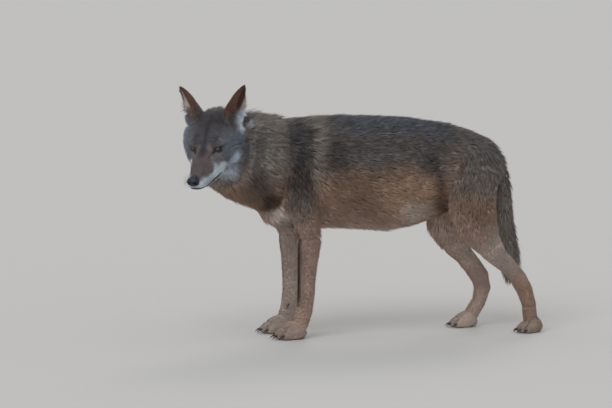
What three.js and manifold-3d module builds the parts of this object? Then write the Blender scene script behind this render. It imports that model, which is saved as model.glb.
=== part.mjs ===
// A timber wolf, life size, standing still with its head turned to its left.
// Millimetres, +Z up. The wolf faces -X and its left side faces -Y; the soles stand on z = 0.
// The solids follow the outline of the winter coat. Each part is a sweep: sections drawn along a
// spline. All the flesh is joined into one body, and thin cuts then part it into its named pieces.
import * as THREE from "three";
import { mergeVertices } from "three/addons/utils/BufferGeometryUtils.js";
import Module from "manifold-3d";

const wasm = await Module();
wasm.setup();

// ---- driving dimensions ----
const GAP = 0.4; // clearance between neighbouring pieces
const LEG_ROUND = 10; // sides of a leg section
const EYE_RADIUS = 11;
const EYE_SPACING = 79; // between the pupils
const EAR_LENGTH = 118; // from the root, which is buried in the fur
const HEAD_SIZE = 1.085; // the head's own measures are multiplied by this
const HEAD_YAW = 60; // degrees from straight ahead, towards the left side
const HEAD_PITCH = 21; // degrees below the horizon
const EYE_LINE = new THREE.Vector3(-737, -225, 689); // midway between the eyes
const LEG_SPREAD = 84; // from the middle plane to the middle of a foreleg
const HOCK_SPREAD = 92; // the same for a hind leg

const vec = (x, y, z) => new THREE.Vector3(x, y, z);
const rad = THREE.MathUtils.degToRad;

// ---- making solids ----
function toSolid(geometry) {
  const bare = geometry.index ? geometry.toNonIndexed() : geometry.clone();
  for (const name of Object.keys(bare.attributes))
    if (name !== "position") bare.deleteAttribute(name);
  const merged = mergeVertices(bare, 1e-3);
  return new wasm.Manifold(
    new wasm.Mesh({
      numProp: 3,
      vertProperties: merged.attributes.position.array,
      triVerts: new Uint32Array(merged.index.array),
    }),
  );
}

function toGeometry(solid) {
  const mesh = solid.getMesh();
  const geometry = new THREE.BufferGeometry();
  geometry.setAttribute("position", new THREE.BufferAttribute(mesh.vertProperties, 3));
  geometry.setIndex(new THREE.BufferAttribute(mesh.triVerts, 1));
  geometry.computeVertexNormals();
  return geometry;
}

// A closed solid through sections. Each section is [centre, wide, up, down]: its half-width along
// `side`, and its reach to either side of the centre across that. Squareness 2 is an ellipse.
function sweep(sections, { side = vec(0, 1, 0), rings, round = LEG_ROUND, square = 2, grow = 0, place } = {}) {
  const path = new THREE.CatmullRomCurve3(sections.map((s) => s[0]), false, "centripetal");
  const sizes = new THREE.CatmullRomCurve3(sections.map((s) => vec(s[1], s[2], s[3])), false, "centripetal");
  const count = rings ?? sections.length * 2 - 1;
  const points = [];
  const tangentAt = (t) => path.getTangent(Math.min(Math.max(t, 1e-3), 1 - 1e-3));
  for (let i = 0; i < count; i++) {
    const t = i / (count - 1);
    const centre = path.getPoint(t);
    const size = sizes.getPoint(t);
    const tangent = tangentAt(t);
    const across = side.clone().addScaledVector(tangent, -side.dot(tangent)).normalize();
    const upward = tangent.clone().cross(across);
    for (let j = 0; j < round; j++) {
      const angle = (j / round) * 2 * Math.PI;
      const bend = (v) => Math.sign(v) * Math.abs(v) ** (2 / square);
      const [c, s] = [bend(Math.cos(angle)), bend(Math.sin(angle))];
      const reach = (s > 0 ? size.y : size.z) + grow;
      points.push(
        centre.clone().addScaledVector(across, c * (size.x + grow)).addScaledVector(upward, s * reach),
      );
    }
  }
  const first = path.getPoint(0).addScaledVector(tangentAt(0), -0.35 * sections[0][1] - grow);
  const last = path.getPoint(1).addScaledVector(tangentAt(1), 0.35 * sections.at(-1)[1] + grow);
  points.push(first, last);
  const triangles = [];
  for (let j = 0; j < round; j++) {
    const k = (j + 1) % round;
    for (let i = 0; i + 1 < count; i++) {
      const [a, b, c, d] = [i * round + j, i * round + k, (i + 1) * round + k, (i + 1) * round + j];
      triangles.push(a, b, c, a, c, d);
    }
    const end = (count - 1) * round;
    triangles.push(count * round, k, j, count * round + 1, end + j, end + k);
  }
  const geometry = new THREE.BufferGeometry().setFromPoints(points).setIndex(triangles);
  if (place) geometry.applyMatrix4(place);
  return toSolid(geometry);
}

function ball(centre, radii, place, segments = 14) {
  const geometry = new THREE.SphereGeometry(1, segments, Math.round(segments * 0.7));
  geometry.rotateX(Math.PI / 2).scale(radii.x, radii.y, radii.z).translate(centre.x, centre.y, centre.z);
  if (place) geometry.applyMatrix4(place);
  return toSolid(geometry);
}

// A long box standing on the plane through `point`, on the side that `normal` points to.
function block(point, normal, reach, grow = 0) {
  const way = normal.clone().normalize();
  const depth = 1200;
  const width = 2 * (reach + grow);
  const geometry = new THREE.BoxGeometry(width, width, depth).translate(0, 0, depth / 2 - grow);
  const turn = new THREE.Quaternion().setFromUnitVectors(vec(0, 0, 1), way);
  geometry.applyQuaternion(turn).translate(point.x, point.y, point.z);
  return toSolid(geometry);
}

const join = (solids) => solids.reduce((a, b) => a.add(b));

// ---- trunk: chest, ribs, loin and rump under the coat ----
// Along the back from the point of the chest: x, top, bottom, half-width.
const trunkRows = [
  [-562, 674, 470, 46],
  [-512, 710, 436, 90],
  [-450, 770, 366, 118],
  [-310, 777, 376, 135],
  [-180, 778, 373, 139],
  [-60, 772, 361, 137],
  [50, 765, 381, 128],
  [150, 749, 418, 118],
  [245, 718, 456, 112],
  [318, 682, 490, 96],
  [368, 638, 530, 60],
];
const trunk = () =>
  sweep(
    trunkRows.map(([x, top, bottom, wide]) => {
      const middle = (top + bottom) / 2;
      return [vec(x, 0, middle), wide, top - middle, middle - bottom];
    }),
    { rings: 15, round: 18, square: 2.25 },
  );

// ---- head frame: x forward along the muzzle, y to the wolf's left, z up; origin between the eyes ----
const forward = vec(-Math.cos(rad(HEAD_YAW)), -Math.sin(rad(HEAD_YAW)), 0);
const muzzleWay = forward.clone().multiplyScalar(Math.cos(rad(HEAD_PITCH)));
muzzleWay.z = -Math.sin(rad(HEAD_PITCH));
const crownWay = forward.clone().multiplyScalar(Math.sin(rad(HEAD_PITCH)));
crownWay.z = Math.cos(rad(HEAD_PITCH));
const leftWay = crownWay.clone().cross(muzzleWay);
const headFrame = new THREE.Matrix4()
  .makeBasis(muzzleWay, leftWay, crownWay)
  .setPosition(EYE_LINE)
  .scale(vec(HEAD_SIZE, HEAD_SIZE, HEAD_SIZE));
const inHead = (x, y, z) => vec(x, y, z).applyMatrix4(headFrame);
const headWay = (x, y, z) => vec(x, y, z).transformDirection(headFrame);

// ---- neck: from inside the shoulders to the back of the skull, with the ruff ----
const neck = () =>
  sweep(
    [
      [inHead(-108, 0, -18), 96, 82, 92],
      [vec(-660, -106, 690), 112, 144, 146],
      [vec(-605, -78, 664), 118, 150, 167],
      [vec(-525, -38, 640), 122, 160, 186],
      [vec(-430, -8, 612), 122, 168, 186],
      [vec(-330, 0, 592), 104, 172, 160],
    ],
    { side: vec(-0.5, 0.87, 0), rings: 9, round: 18, square: 2.15 },
  );

// ---- skull: from the nape over the crown to the stop between the eyes ----
// x, middle height, half-width, reach up, reach down.
const headSweep = (rows, rings, round, square) =>
  sweep(rows.map(([x, z, wide, up, down]) => [vec(x, 0, z), wide, up, down]),
    { rings, round, square, place: headFrame });
const skull = () =>
  headSweep([
    [-165, -16, 82, 92, 90],
    [-122, -6, 97, 88, 98],
    [-78, -4, 97, 74, 98],
    [-38, -9, 82, 56, 90],
    [-8, -22, 60, 39, 72],
    [16, -36, 44, 25, 50],
  ], 9, 16, 2.2);

// ---- muzzle: a narrow bridge above, the full lips and jaw below ----
const bridge = () =>
  headSweep([
    [-30, -6, 36, 38, 40],
    [4, -16, 29, 28, 34],
    [40, -30, 25, 22, 28],
    [82, -40, 22, 18, 22],
    [118, -46, 20, 15, 18],
    [138, -50, 17, 12, 14],
  ], 7, 10, 2.3);
const lips = () =>
  headSweep([
    [-46, -54, 74, 52, 54],
    [-4, -56, 61, 48, 54],
    [30, -60, 48, 40, 49],
    [66, -63, 38, 34, 40],
    [100, -65, 32, 28, 27],
    [126, -63, 27, 20, 19],
    [139, -61, 18, 13, 12],
  ], 9, 14, 2.3);

// ---- cheeks: the fanned ruff from below the eye back to the neck; side is 1 left, -1 right ----
const cheek = (side) =>
  sweep(
    [
      [vec(-158, side * 80, -26), 14, 34, 34],
      [vec(-128, side * 80, -30), 28, 70, 56],
      [vec(-88, side * 72, -34), 35, 78, 62],
      [vec(-44, side * 55, -42), 30, 56, 44],
      [vec(-4, side * 40, -52), 19, 34, 28],
    ],
    { rings: 7, round: 12, place: headFrame },
  );

const nose = (grow = 0) =>
  sweep(
    [
      [vec(128, 0, -44), 15, 12, 13],
      [vec(138, 0, -43), 20, 14, 18],
      [vec(149, 0, -44), 21, 14, 18],
      [vec(157, 0, -46), 13, 9, 11],
    ],
    { rings: 7, round: 12, grow, place: headFrame },
  );

// ---- ears: a cupped leaf on a stout root, turned outwards ----
const ears = {
  left: { root: vec(-108, 56, 54), way: vec(-0.27, 0.36, 0.89), open: vec(0.35, 0.9, -0.2) },
  right: { root: vec(-106, -56, 52), way: vec(-0.52, -0.48, 0.66), open: vec(0.68, -0.72, -0.2) },
};
function earFrame({ root, way, open }) {
  const tip = way.clone().normalize();
  const out = open.clone().addScaledVector(tip, -open.dot(tip)).normalize();
  const local = new THREE.Matrix4().makeBasis(out, tip.clone().cross(out), tip).setPosition(root);
  return headFrame.clone().multiply(local);
}

// In the ear frame z runs to the tip and x points out of the cup.
function ear(name, grow = 0) {
  const place = earFrame(ears[name]);
  const outer = sweep(
    [
      [vec(4, 0, -20), 32, 28, 28],
      [vec(6, 0, 12), 38, 30, 30],
      [vec(5, 0, 44), 35, 24, 24],
      [vec(4, 0, 78), 26, 16, 16],
      [vec(6, 0, 104), 12, 8, 10],
      [vec(8, 0, EAR_LENGTH), 3.5, 2.5, 3.5],
    ],
    { rings: 8, round: 10, grow, place },
  );
  if (grow) return outer;
  const hollow = sweep(
    [
      [vec(31, 0, 18), 24, 28, 17],
      [vec(27, 0, 46), 29, 32, 20],
      [vec(21, 0, 76), 21, 24, 15],
      [vec(16, 0, 103), 8, 15, 6],
    ],
    { rings: 5, round: 8, place },
  );
  return outer.subtract(hollow);
}

// ---- legs: joints of each leg, and the girths that left and right share ----
// A section runs down the leg: half-width across the body, reach to the back, reach to the front.
const foreGirths = [
  [46, 74, 78],
  [48, 58, 66],
  [37, 46, 48],
  [31, 40, 40],
  [29, 34, 34],
  [28, 33, 33],
  [27, 28, 31],
];
const foreJoints = {
  left: [
    vec(-400, -86, 600), vec(-368, -92, 480), vec(-342, -86, 372), vec(-348, -LEG_SPREAD, 280),
    vec(-354, -LEG_SPREAD, 190), vec(-357, -LEG_SPREAD, 116), vec(-376, -LEG_SPREAD - 2, 44),
  ],
  right: [
    vec(-408, 86, 600), vec(-396, 92, 480), vec(-376, 86, 372), vec(-371, LEG_SPREAD, 280),
    vec(-371, LEG_SPREAD, 190), vec(-374, LEG_SPREAD, 116), vec(-393, LEG_SPREAD - 2, 44),
  ],
};
const hindGirths = [
  [52, 100, 92],
  [56, 98, 100],
  [52, 92, 92],
  [44, 62, 62],
  [33, 38, 37],
  [27, 33, 30],
  [25, 35, 32],
  [24, 28, 28],
  [26, 27, 27],
];
// The right hind leg is tucked forward, so its hock is bent the more.
const tuckedGirths = hindGirths.with(5, [27, 37, 36]).with(6, [25, 37, 36]);
const hindJoints = {
  left: [
    vec(262, -66, 600), vec(240, -84, 500), vec(246, -92, 410), vec(280, -94, 342),
    vec(334, -HOCK_SPREAD, 268), vec(384, -HOCK_SPREAD, 222), vec(418, -HOCK_SPREAD, 172),
    vec(443, -HOCK_SPREAD, 117), vec(452, -HOCK_SPREAD, 42),
  ],
  right: [
    vec(250, 66, 600), vec(214, 84, 500), vec(190, 92, 402), vec(212, 94, 320),
    vec(254, HOCK_SPREAD, 258), vec(296, HOCK_SPREAD, 204), vec(321, HOCK_SPREAD, 160),
    vec(317, HOCK_SPREAD, 106), vec(280, HOCK_SPREAD, 40),
  ],
};
const leg = (joints, girths) =>
  sweep(joints.map((joint, i) => [joint, ...girths[i]]), { rings: joints.length + 2, square: 2.1 });

// ---- paws: a pad body, four arched toes and their claws; x forward, origin on the floor ----
const paws = {
  fore_left: { at: vec(-408, -LEG_SPREAD - 5, 0), turn: 8, size: 1.06 },
  fore_right: { at: vec(-426, LEG_SPREAD - 4, 0), turn: 4, size: 1.06 },
  hind_left: { at: vec(450, -HOCK_SPREAD - 4, 0), turn: 20, size: 0.9 },
  hind_right: { at: vec(256, HOCK_SPREAD, 0), turn: 3, size: 0.95 },
};
const toes = [-30, -10, 10, 30].map((spread) => ({ spread, reach: Math.abs(spread) < 20 ? 54 : 40 }));

function pawFrame({ at, turn, size }) {
  return new THREE.Matrix4()
    .makeRotationZ(Math.PI + rad(turn))
    .setPosition(at)
    .scale(vec(size, size, size));
}

function pawSolid(paw) {
  const place = pawFrame(paw);
  const body = sweep(
    [
      [vec(-42, 0, 38), 24, 26, 26],
      [vec(-26, 0, 30), 34, 36, 34],
      [vec(-4, 0, 26), 41, 32, 36],
      [vec(22, 0, 21), 38, 24, 30],
    ],
    { rings: 5, round: 10, square: 2.4, place },
  );
  const fingers = toes.map(({ spread, reach }) =>
    sweep(
      [
        [vec(-8, spread * 0.85, 27), 11, 12, 14],
        [vec(reach - 22, spread * 1.02, 24), 12.5, 14, 26],
        [vec(reach - 6, spread * 1.1, 13), 11.5, 10, 16],
        [vec(reach, spread * 1.12, 11), 7, 6, 9],
      ],
      { rings: 4, round: 6, place },
    ),
  );
  return join([body, ...fingers]).intersect(block(vec(0, 0, 0), vec(0, 0, 1), 2000));
}

const claw = (paw, { spread, reach }, grow = 0) =>
  sweep(
    [
      [vec(reach - 8, spread * 1.12, 15), 3.4, 3.8, 3.8],
      [vec(reach + 5, spread * 1.15, 14), 3.2, 3.8, 3.8],
      [vec(reach + 16, spread * 1.18, 5), 0.8, 0.9, 0.9],
    ],
    { rings: 3, round: 6, grow, place: pawFrame(paw) },
  );

// The dewclaw sits on the inner side of each foreleg, a hand's width above the floor.
const dewclaw = (name, grow = 0) => {
  const side = name === "left" ? 1 : -1;
  const wrist = foreJoints[name][5];
  const place = new THREE.Matrix4().setPosition(wrist.x - 12, wrist.y + side * 25, wrist.z - 22);
  return sweep(
    [
      [vec(2, -side * 6, 12), 3, 3, 3],
      [vec(-3, side * 1.5, 2), 2.8, 2.8, 2.8],
      [vec(-9, side * 3, -8), 0.7, 0.7, 0.7],
    ],
    { rings: 3, round: 6, grow, place },
  );
};

// ---- tail: hangs straight down between the hocks ----
const tail = (grow = 0) =>
  sweep(
    [
      [vec(318, 0, 640), 26, 24, 24],
      [vec(344, 0, 600), 33, 36, 28],
      [vec(368, 0, 530), 37, 39, 34],
      [vec(374, 2, 455), 40, 41, 40],
      [vec(381, 6, 380), 42, 43, 42],
      [vec(394, 10, 305), 41, 47, 46],
      [vec(404, 12, 236), 36, 47, 46],
      [vec(408, 12, 184), 24, 32, 32],
      [vec(404, 12, 138), 9, 10, 10],
    ],
    { rings: 12, round: 11, grow },
  );

// ---- eyes: each ball lies in a bowl of the face, so that its front shows ----
const eye = (side, grow = 0) => {
  const radius = EYE_RADIUS + grow;
  return ball(vec(-6, side * (EYE_SPACING / 2 - 2), -1), vec(radius, radius, radius), headFrame, 10);
};
const eyeBowl = (side) => ball(vec(6, side * 43, 5), vec(15, 16, 12), headFrame, 10);

// ---- joining the flesh, and the cuts that part it ----
const pawSolids = Object.values(paws).map(pawSolid);
let flesh = join([
  trunk(), neck(), skull(), bridge(), lips(), cheek(1), cheek(-1),
  leg(foreJoints.left, foreGirths), leg(foreJoints.right, foreGirths),
  leg(hindJoints.left, hindGirths), leg(hindJoints.right, tuckedGirths),
  ...pawSolids,
]);
const claws = Object.entries(paws).flatMap(([name, paw]) =>
  toes.map((toe, i) => ({ name: `claw_${name}_${i + 1}`, solid: claw(paw, toe), socket: claw(paw, toe, GAP) })),
);
for (const name of ["left", "right"])
  claws.push({ name: `dewclaw_${name}`, solid: dewclaw(name), socket: dewclaw(name, GAP) });
const sockets = [tail(GAP), nose(GAP), ear("left", GAP), ear("right", GAP)];
for (const side of [1, -1]) sockets.push(eyeBowl(side), eye(side, GAP));
for (const socket of [...sockets, ...claws.map((c) => c.socket)]) flesh = flesh.subtract(socket);

// Parts what lies inside a block off one of the pieces, with a clearance all round it.
const pieces = { trunk: flesh };
function part(name, from, point, normal, reach) {
  const whole = pieces[from];
  pieces[name] = whole.intersect(block(point, normal, reach));
  pieces[from] = whole.subtract(block(point, normal, reach, GAP));
}

const down = vec(0, 0, -1);
part("head", "trunk", inHead(-150, 0, 64), headWay(0.885, 0, 0.469), 300);
part("muzzle", "head", inHead(20, 0, 0), headWay(1, 0, 0.12), 250);
part("jaw", "muzzle", inHead(16, 0, -82), headWay(-0.05, 0, -1), 250);
part("neck", "trunk", vec(-470, 0, 600), vec(-1, -0.18, 0.15), 300);
part("forepaw_left", "trunk", vec(-390, -90, 84), down, 88);
part("forepaw_right", "trunk", vec(-410, 90, 84), down, 88);
part("foreleg_left", "trunk", vec(-345, -130, 358), down, 128);
part("foreleg_right", "trunk", vec(-374, 130, 358), down, 128);
part("hindpaw_left", "trunk", vec(446, -95, 92), down, 90);
part("hindpaw_right", "trunk", vec(252, 95, 88), down, 90);
part("hindleg_left", "trunk", vec(330, -140, 330), vec(0.6, 0, -1), 138);
part("hindleg_right", "trunk", vec(240, 140, 318), vec(0.5, 0, -1), 138);

// ---- naming, colours, and the origin under the middle of the whole ----
const colours = { back: 0x6b6056, head: 0x6e665f, legs: 0x98826a, muzzle: 0xb9b0a4 };
const paint = (color, roughness = 0.9) => new THREE.MeshStandardMaterial({ color, roughness });
const coats = Object.fromEntries(Object.entries(colours).map(([name, hex]) => [name, paint(hex)]));
const leather = paint(0x1d1b1c, 0.5);
const iris = paint(0xb58a45, 0.1);
const horn = paint(0x2c2622, 0.5);

const group = new THREE.Group();
const add = (name, solid, material) => {
  const mesh = new THREE.Mesh(toGeometry(solid), material);
  mesh.name = name;
  group.add(mesh);
};
const coatOf = (name) => {
  if (/leg|paw/.test(name)) return coats.legs;
  if (/muzzle|jaw/.test(name)) return coats.muzzle;
  return name === "head" ? coats.head : coats.back;
};
for (const [name, solid] of Object.entries(pieces)) add(name, solid, coatOf(name));
add("tail", tail(), coats.back);
add("nose", nose(), leather);
add("ear_left", ear("left"), coats.head);
add("ear_right", ear("right"), coats.head);
add("eye_left", eye(1), iris);
add("eye_right", eye(-1), iris);
for (const { name, solid } of claws) add(name, solid, horn);

const bounds = new THREE.Box3().setFromObject(group);
const middle = bounds.getCenter(vec(0, 0, 0));
for (const mesh of group.children) mesh.geometry.translate(-middle.x, -middle.y, -bounds.min.z);
export default group;
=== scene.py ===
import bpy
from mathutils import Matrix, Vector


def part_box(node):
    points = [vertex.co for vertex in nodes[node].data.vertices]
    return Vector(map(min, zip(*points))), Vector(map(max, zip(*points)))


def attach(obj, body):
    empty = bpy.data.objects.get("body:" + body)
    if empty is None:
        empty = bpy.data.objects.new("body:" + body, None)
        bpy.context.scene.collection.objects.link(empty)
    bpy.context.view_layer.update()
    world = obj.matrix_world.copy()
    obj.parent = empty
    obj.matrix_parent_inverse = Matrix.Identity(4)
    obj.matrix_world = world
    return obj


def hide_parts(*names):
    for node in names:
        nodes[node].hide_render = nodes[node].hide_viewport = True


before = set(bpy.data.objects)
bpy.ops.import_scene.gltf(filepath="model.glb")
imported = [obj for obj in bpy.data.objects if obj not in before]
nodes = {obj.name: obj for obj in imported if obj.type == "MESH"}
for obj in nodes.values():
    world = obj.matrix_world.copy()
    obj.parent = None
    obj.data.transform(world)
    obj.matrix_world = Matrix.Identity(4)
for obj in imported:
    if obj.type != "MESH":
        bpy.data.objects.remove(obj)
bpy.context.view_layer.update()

import math

import bmesh
import bpy
import numpy as np
import openvdb as vdb
from mathutils import Vector
from mathutils.bvhtree import BVHTree
from mathutils.kdtree import KDTree

rng = np.random.default_rng(11)


# ---- Camera ----
# A long lens far off, as one watches a wolf from a hide: level with its back, and a little ahead
# of its left side.
CAMERA_AIM = Vector((-0.1732, 0.1062, 0.4624))
CAMERA_AZIMUTH = math.radians(-12)
CAMERA_RISE = math.radians(6.5)
CAMERA_DISTANCE = 17.85
CAMERA_LENS = 300


def put_in_scene(name, data):
    thing = bpy.data.objects.new(name, data)
    bpy.context.collection.objects.link(thing)
    return thing


camera = put_in_scene("camera", bpy.data.cameras.new("camera"))
camera.data.lens = CAMERA_LENS
camera.data.sensor_width = 36
camera.data.clip_end = 100
camera_back = Vector((
    math.sin(CAMERA_AZIMUTH) * math.cos(CAMERA_RISE),
    -math.cos(CAMERA_AZIMUTH) * math.cos(CAMERA_RISE),
    math.sin(CAMERA_RISE),
))
camera.location = CAMERA_AIM + CAMERA_DISTANCE * camera_back
camera.rotation_euler = camera_back.to_track_quat("Z", "Y").to_euler()
bpy.context.scene.camera = camera


# ---- Landmarks ----
# The head has axes of its own: x along the muzzle, y to the wolf's left, z out of the crown, with
# the origin between the eyes. The body is measured in millimetres from below the middle of the
# back: it faces -x, its left side is -y, and the soles are at z = 0.
HEAD_TURN = math.radians(60)
HEAD_NOD = math.radians(21)
HEAD_UNIT = 0.001085
EYE_AT = np.array([-6, 37.5, -1])
EYES_IN_BODY = np.array([-0.737, -0.225, 0.689])

ahead = np.array([-math.cos(HEAD_TURN), -math.sin(HEAD_TURN), 0])
muzzle_way = ahead * math.cos(HEAD_NOD) - np.array([0, 0, math.sin(HEAD_NOD)])
crown_way = ahead * math.sin(HEAD_NOD) + np.array([0, 0, math.cos(HEAD_NOD)])
left_way = np.cross(crown_way, muzzle_way)
HEAD_AXES = np.array([muzzle_way, left_way, crown_way])


def middle(node):
    low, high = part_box(node)
    return np.array((low + high) / 2)


eyes_middle = (middle("eye_left") + middle("eye_right")) / 2
HEAD_AT = eyes_middle - HEAD_UNIT * (EYE_AT * [1, 0, 1]) @ HEAD_AXES
BODY_AT = (HEAD_AT - EYES_IN_BODY) * [1, 1, 0]


def head(x, y, z):
    return HEAD_AT + HEAD_UNIT * np.array([x, y, z]) @ HEAD_AXES


def body(x, y, z):
    return BODY_AT + np.array([x, y, z]) / 1000


# ---- Lie of the coat ----
# Chains of points along which the hair runs, from the nose to the tail and down the legs. Each
# point says how thick the part is there, how deep the coat lies on it, how long its tufts are
# and how far apart they stand, all in millimetres. What lies between two chains is a blend.
lie_starts, lie_ends, lie_from, lie_to = [], [], [], []
# Of each ear: its root and tip, the way its cup opens, and where the pale edge of the cup lies.
EARS = {
    "ear_left": ((-112, 58, 66), (-141, 99, 158), (-0.55, 0.83, -0.2), (19, 24)),
    "ear_right": ((-114, -58, 66), (-170, -108, 125), (0.68, -0.72, -0.2), (14, 19)),
}


def lie_chain(*stations):
    for (start, *values), (end, *next_values) in zip(stations, stations[1:]):
        lie_starts.append(start)
        lie_ends.append(end)
        lie_from.append(values)
        lie_to.append(next_values)


# point, girth, depth, length, spacing
lie_chain(
    (head(150, 0, -38), 20, 0.8, 4, 1.4),
    (head(100, 0, -28), 26, 1.2, 5, 1.5),
    (head(50, 0, -14), 32, 1.5, 6, 1.6),
    (head(8, 0, 6), 38, 2.0, 8, 1.8),
    (head(-40, 0, 40), 46, 4.0, 12, 2.2),
    (head(-95, 0, 64), 54, 7.0, 18, 2.6),
    (head(-160, 0, 62), 66, 17, 36, 3.4),
)
for side in (-1, 1):
    lie_chain(
        (head(136, side * 15, -62), 16, 0.8, 4, 1.4),
        (head(70, side * 36, -66), 24, 1.2, 6, 1.6),
        (head(22, side * 47, -66), 30, 2.5, 9, 1.9),
    )
    lie_chain(
        (head(24, side * 42, -36), 26, 2.0, 8, 1.8),
        (head(-24, side * 62, -40), 32, 4.0, 14, 2.2),
        (head(-70, side * 86, -46), 40, 9.0, 26, 2.9),
        (head(-115, side * 100, -60), 46, 18, 42, 3.4),
        (head(-165, side * 96, -74), 50, 24, 52, 3.8),
    )
    lie_chain(
        (head(4, side * 36, 16), 24, 2.0, 8, 1.8),
        (head(-40, side * 58, 28), 34, 5.0, 13, 2.2),
        (head(-92, side * 78, 22), 42, 9.0, 24, 2.8),
        (head(-160, side * 86, 10), 56, 20, 44, 3.6),
    )
lie_chain(
    (head(130, 0, -88), 14, 1.2, 5, 1.6),
    (head(60, 0, -94), 24, 2.0, 8, 1.9),
    (head(0, 0, -104), 34, 5.0, 18, 2.6),
    (head(-70, 0, -122), 50, 15, 36, 3.5),
    (body(-650, -112, 552), 60, 22, 48, 4.0),
    (body(-560, -52, 470), 70, 25, 52, 3.8),
    (body(-500, -10, 425), 70, 22, 48, 3.8),
)
for root, tip, *_ in EARS.values():
    lie_chain((head(*root), 31, 2.5, 11, 1.9), (head(*tip), 34, 0.6, 7, 1.6))
lie_chain(
    (head(-165, 0, 30), 104, 22, 50, 3.9),
    (body(-640, -92, 700), 124, 27, 58, 3.8),
    (body(-560, -52, 670), 140, 28, 60, 4.3),
    (body(-470, -20, 640), 150, 27, 60, 4.3),
    (body(-400, 0, 640), 150, 25, 58, 4.3),
)
lie_chain(
    (body(-430, 0, 700), 110, 26, 60, 4.3),
    (body(-300, 0, 690), 110, 22, 56, 4.3),
    (body(50, 0, 680), 108, 20, 52, 4.3),
    (body(245, 0, 650), 100, 19, 50, 3.8),
    (body(330, 0, 610), 80, 18, 48, 3.8),
)
lie_chain(
    (body(-440, 0, 560), 126, 24, 52, 4.3),
    (body(-200, 0, 545), 140, 21, 46, 3.8),
    (body(60, 0, 560), 132, 18, 42, 4.1),
    (body(230, 0, 590), 118, 17, 40, 4.1),
)
lie_chain(
    (body(-470, 0, 450), 90, 22, 48, 3.8),
    (body(-200, 0, 450), 104, 17, 42, 4.1),
    (body(80, 0, 470), 100, 14, 38, 4.0),
    (body(240, 0, 520), 80, 11, 30, 3.8),
)
# Down a foreleg: height, girth, depth, length and spacing; a hind leg's heights are in its lines.
FORELEG = ((600, 96, 20, 42, 4.3), (480, 74, 16, 34, 3.9), (372, 48, 8, 20, 2.9), (280, 38, 5, 13, 2.3),
           (190, 33, 4.5, 11, 2.15), (116, 32, 4, 10, 2.1), (44, 30, 3, 8, 1.9))
FORELEG_LINES = {
    "left": ((-400, -86), (-368, -92), (-342, -86), (-348, -84), (-354, -84), (-357, -84), (-376, -86)),
    "right": ((-408, 86), (-396, 92), (-376, 86), (-371, 84), (-371, 84), (-374, 84), (-393, 82)),
}
for line in FORELEG_LINES.values():
    lie_chain(*((body(x, y, z), *sizes) for (x, y), (z, *sizes) in zip(line, FORELEG)))
HINDLEG = ((100, 18, 42, 4.3), (98, 17, 38, 4.2), (84, 14, 32, 3.9), (58, 9, 22, 3.1), (36, 6, 14, 2.4),
           (30, 5, 11, 2.15), (30, 4.5, 10, 2.1), (27, 4, 9, 2.0), (27, 3, 8, 1.9))
HINDLEG_LINES = {
    "left": ((262, -66, 600), (240, -84, 500), (246, -92, 410), (280, -94, 342), (334, -92, 268),
             (384, -92, 222), (418, -92, 172), (443, -92, 117), (452, -92, 42)),
    "right": ((250, 66, 600), (214, 84, 500), (190, 92, 402), (216, 94, 320), (254, 92, 258),
              (296, 92, 204), (321, 92, 160), (317, 92, 106), (280, 92, 40)),
}
for line in HINDLEG_LINES.values():
    lie_chain(*((body(*joint), *sizes) for joint, sizes in zip(line, HINDLEG)))
# Where each paw's middle is, how far it turns from straight ahead, and its size beside a usual one.
PAWS = {"fore_left": (-408, -89, 8, 1.06), "fore_right": (-426, 80, 4, 1.06),
        "hind_left": (450, -96, 20, 0.9), "hind_right": (256, 92, 3, 0.95)}
HEEL_BACK = 20
TOE_AHEAD = 56
for x, y, turn, _ in PAWS.values():
    toward = np.array([math.cos(math.radians(180 + turn)), math.sin(math.radians(180 + turn))])
    heel = np.array([x, y]) - HEEL_BACK * toward
    toe = np.array([x, y]) + TOE_AHEAD * toward
    lie_chain((body(*heel, 26), 34, 2.5, 7, 1.9), (body(*toe, 14), 26, 1.6, 5, 1.7))
lie_chain(
    (body(325, 0, 622), 38, 14, 42, 3.8),
    (body(368, 0, 530), 40, 18, 48, 3.8),
    (body(376, 2, 455), 42, 20, 52, 3.8),
    (body(394, 10, 305), 46, 22, 54, 3.8),
    (body(404, 12, 236), 44, 20, 50, 3.8),
    (body(404, 12, 138), 24, 12, 40, 3.6),
)

lie_starts, lie_ends, lie_from, lie_to = [np.array(part) for part in (lie_starts, lie_ends, lie_from, lie_to)]
LIE_SHARPNESS = 9


def from_line(points, start, end):
    """How far along a line each point is, from 0 to 1, and how it stands off the line."""
    start, end = np.array(start), np.array(end)
    way = end - start
    along = np.clip((points - start) @ way / (way @ way), 0, 1)
    return along, points - start - along[:, None] * way


def lie_at(points):
    """The coat's way, depth, length and spacing at each point."""
    total = np.zeros(len(points))
    sums = np.zeros((len(points), 6))
    for start, end, first, last in zip(lie_starts, lie_ends, lie_from, lie_to):
        along, off = from_line(points, start, end)
        sizes = first + along[:, None] * (last - first)
        weight = np.exp(-LIE_SHARPNESS * np.linalg.norm(off, axis=1) / sizes[:, 0] * 1000)
        total += weight
        sums[:, :3] += weight[:, None] * (end - start) / np.linalg.norm(end - start)
        sums[:, 3:] += weight[:, None] * sizes[:, 1:]
    sums /= np.maximum(total, 1e-30)[:, None]
    return sums[:, :3], sums[:, 3] / 1000, sums[:, 4] / 1000, sums[:, 5] / 1000


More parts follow.
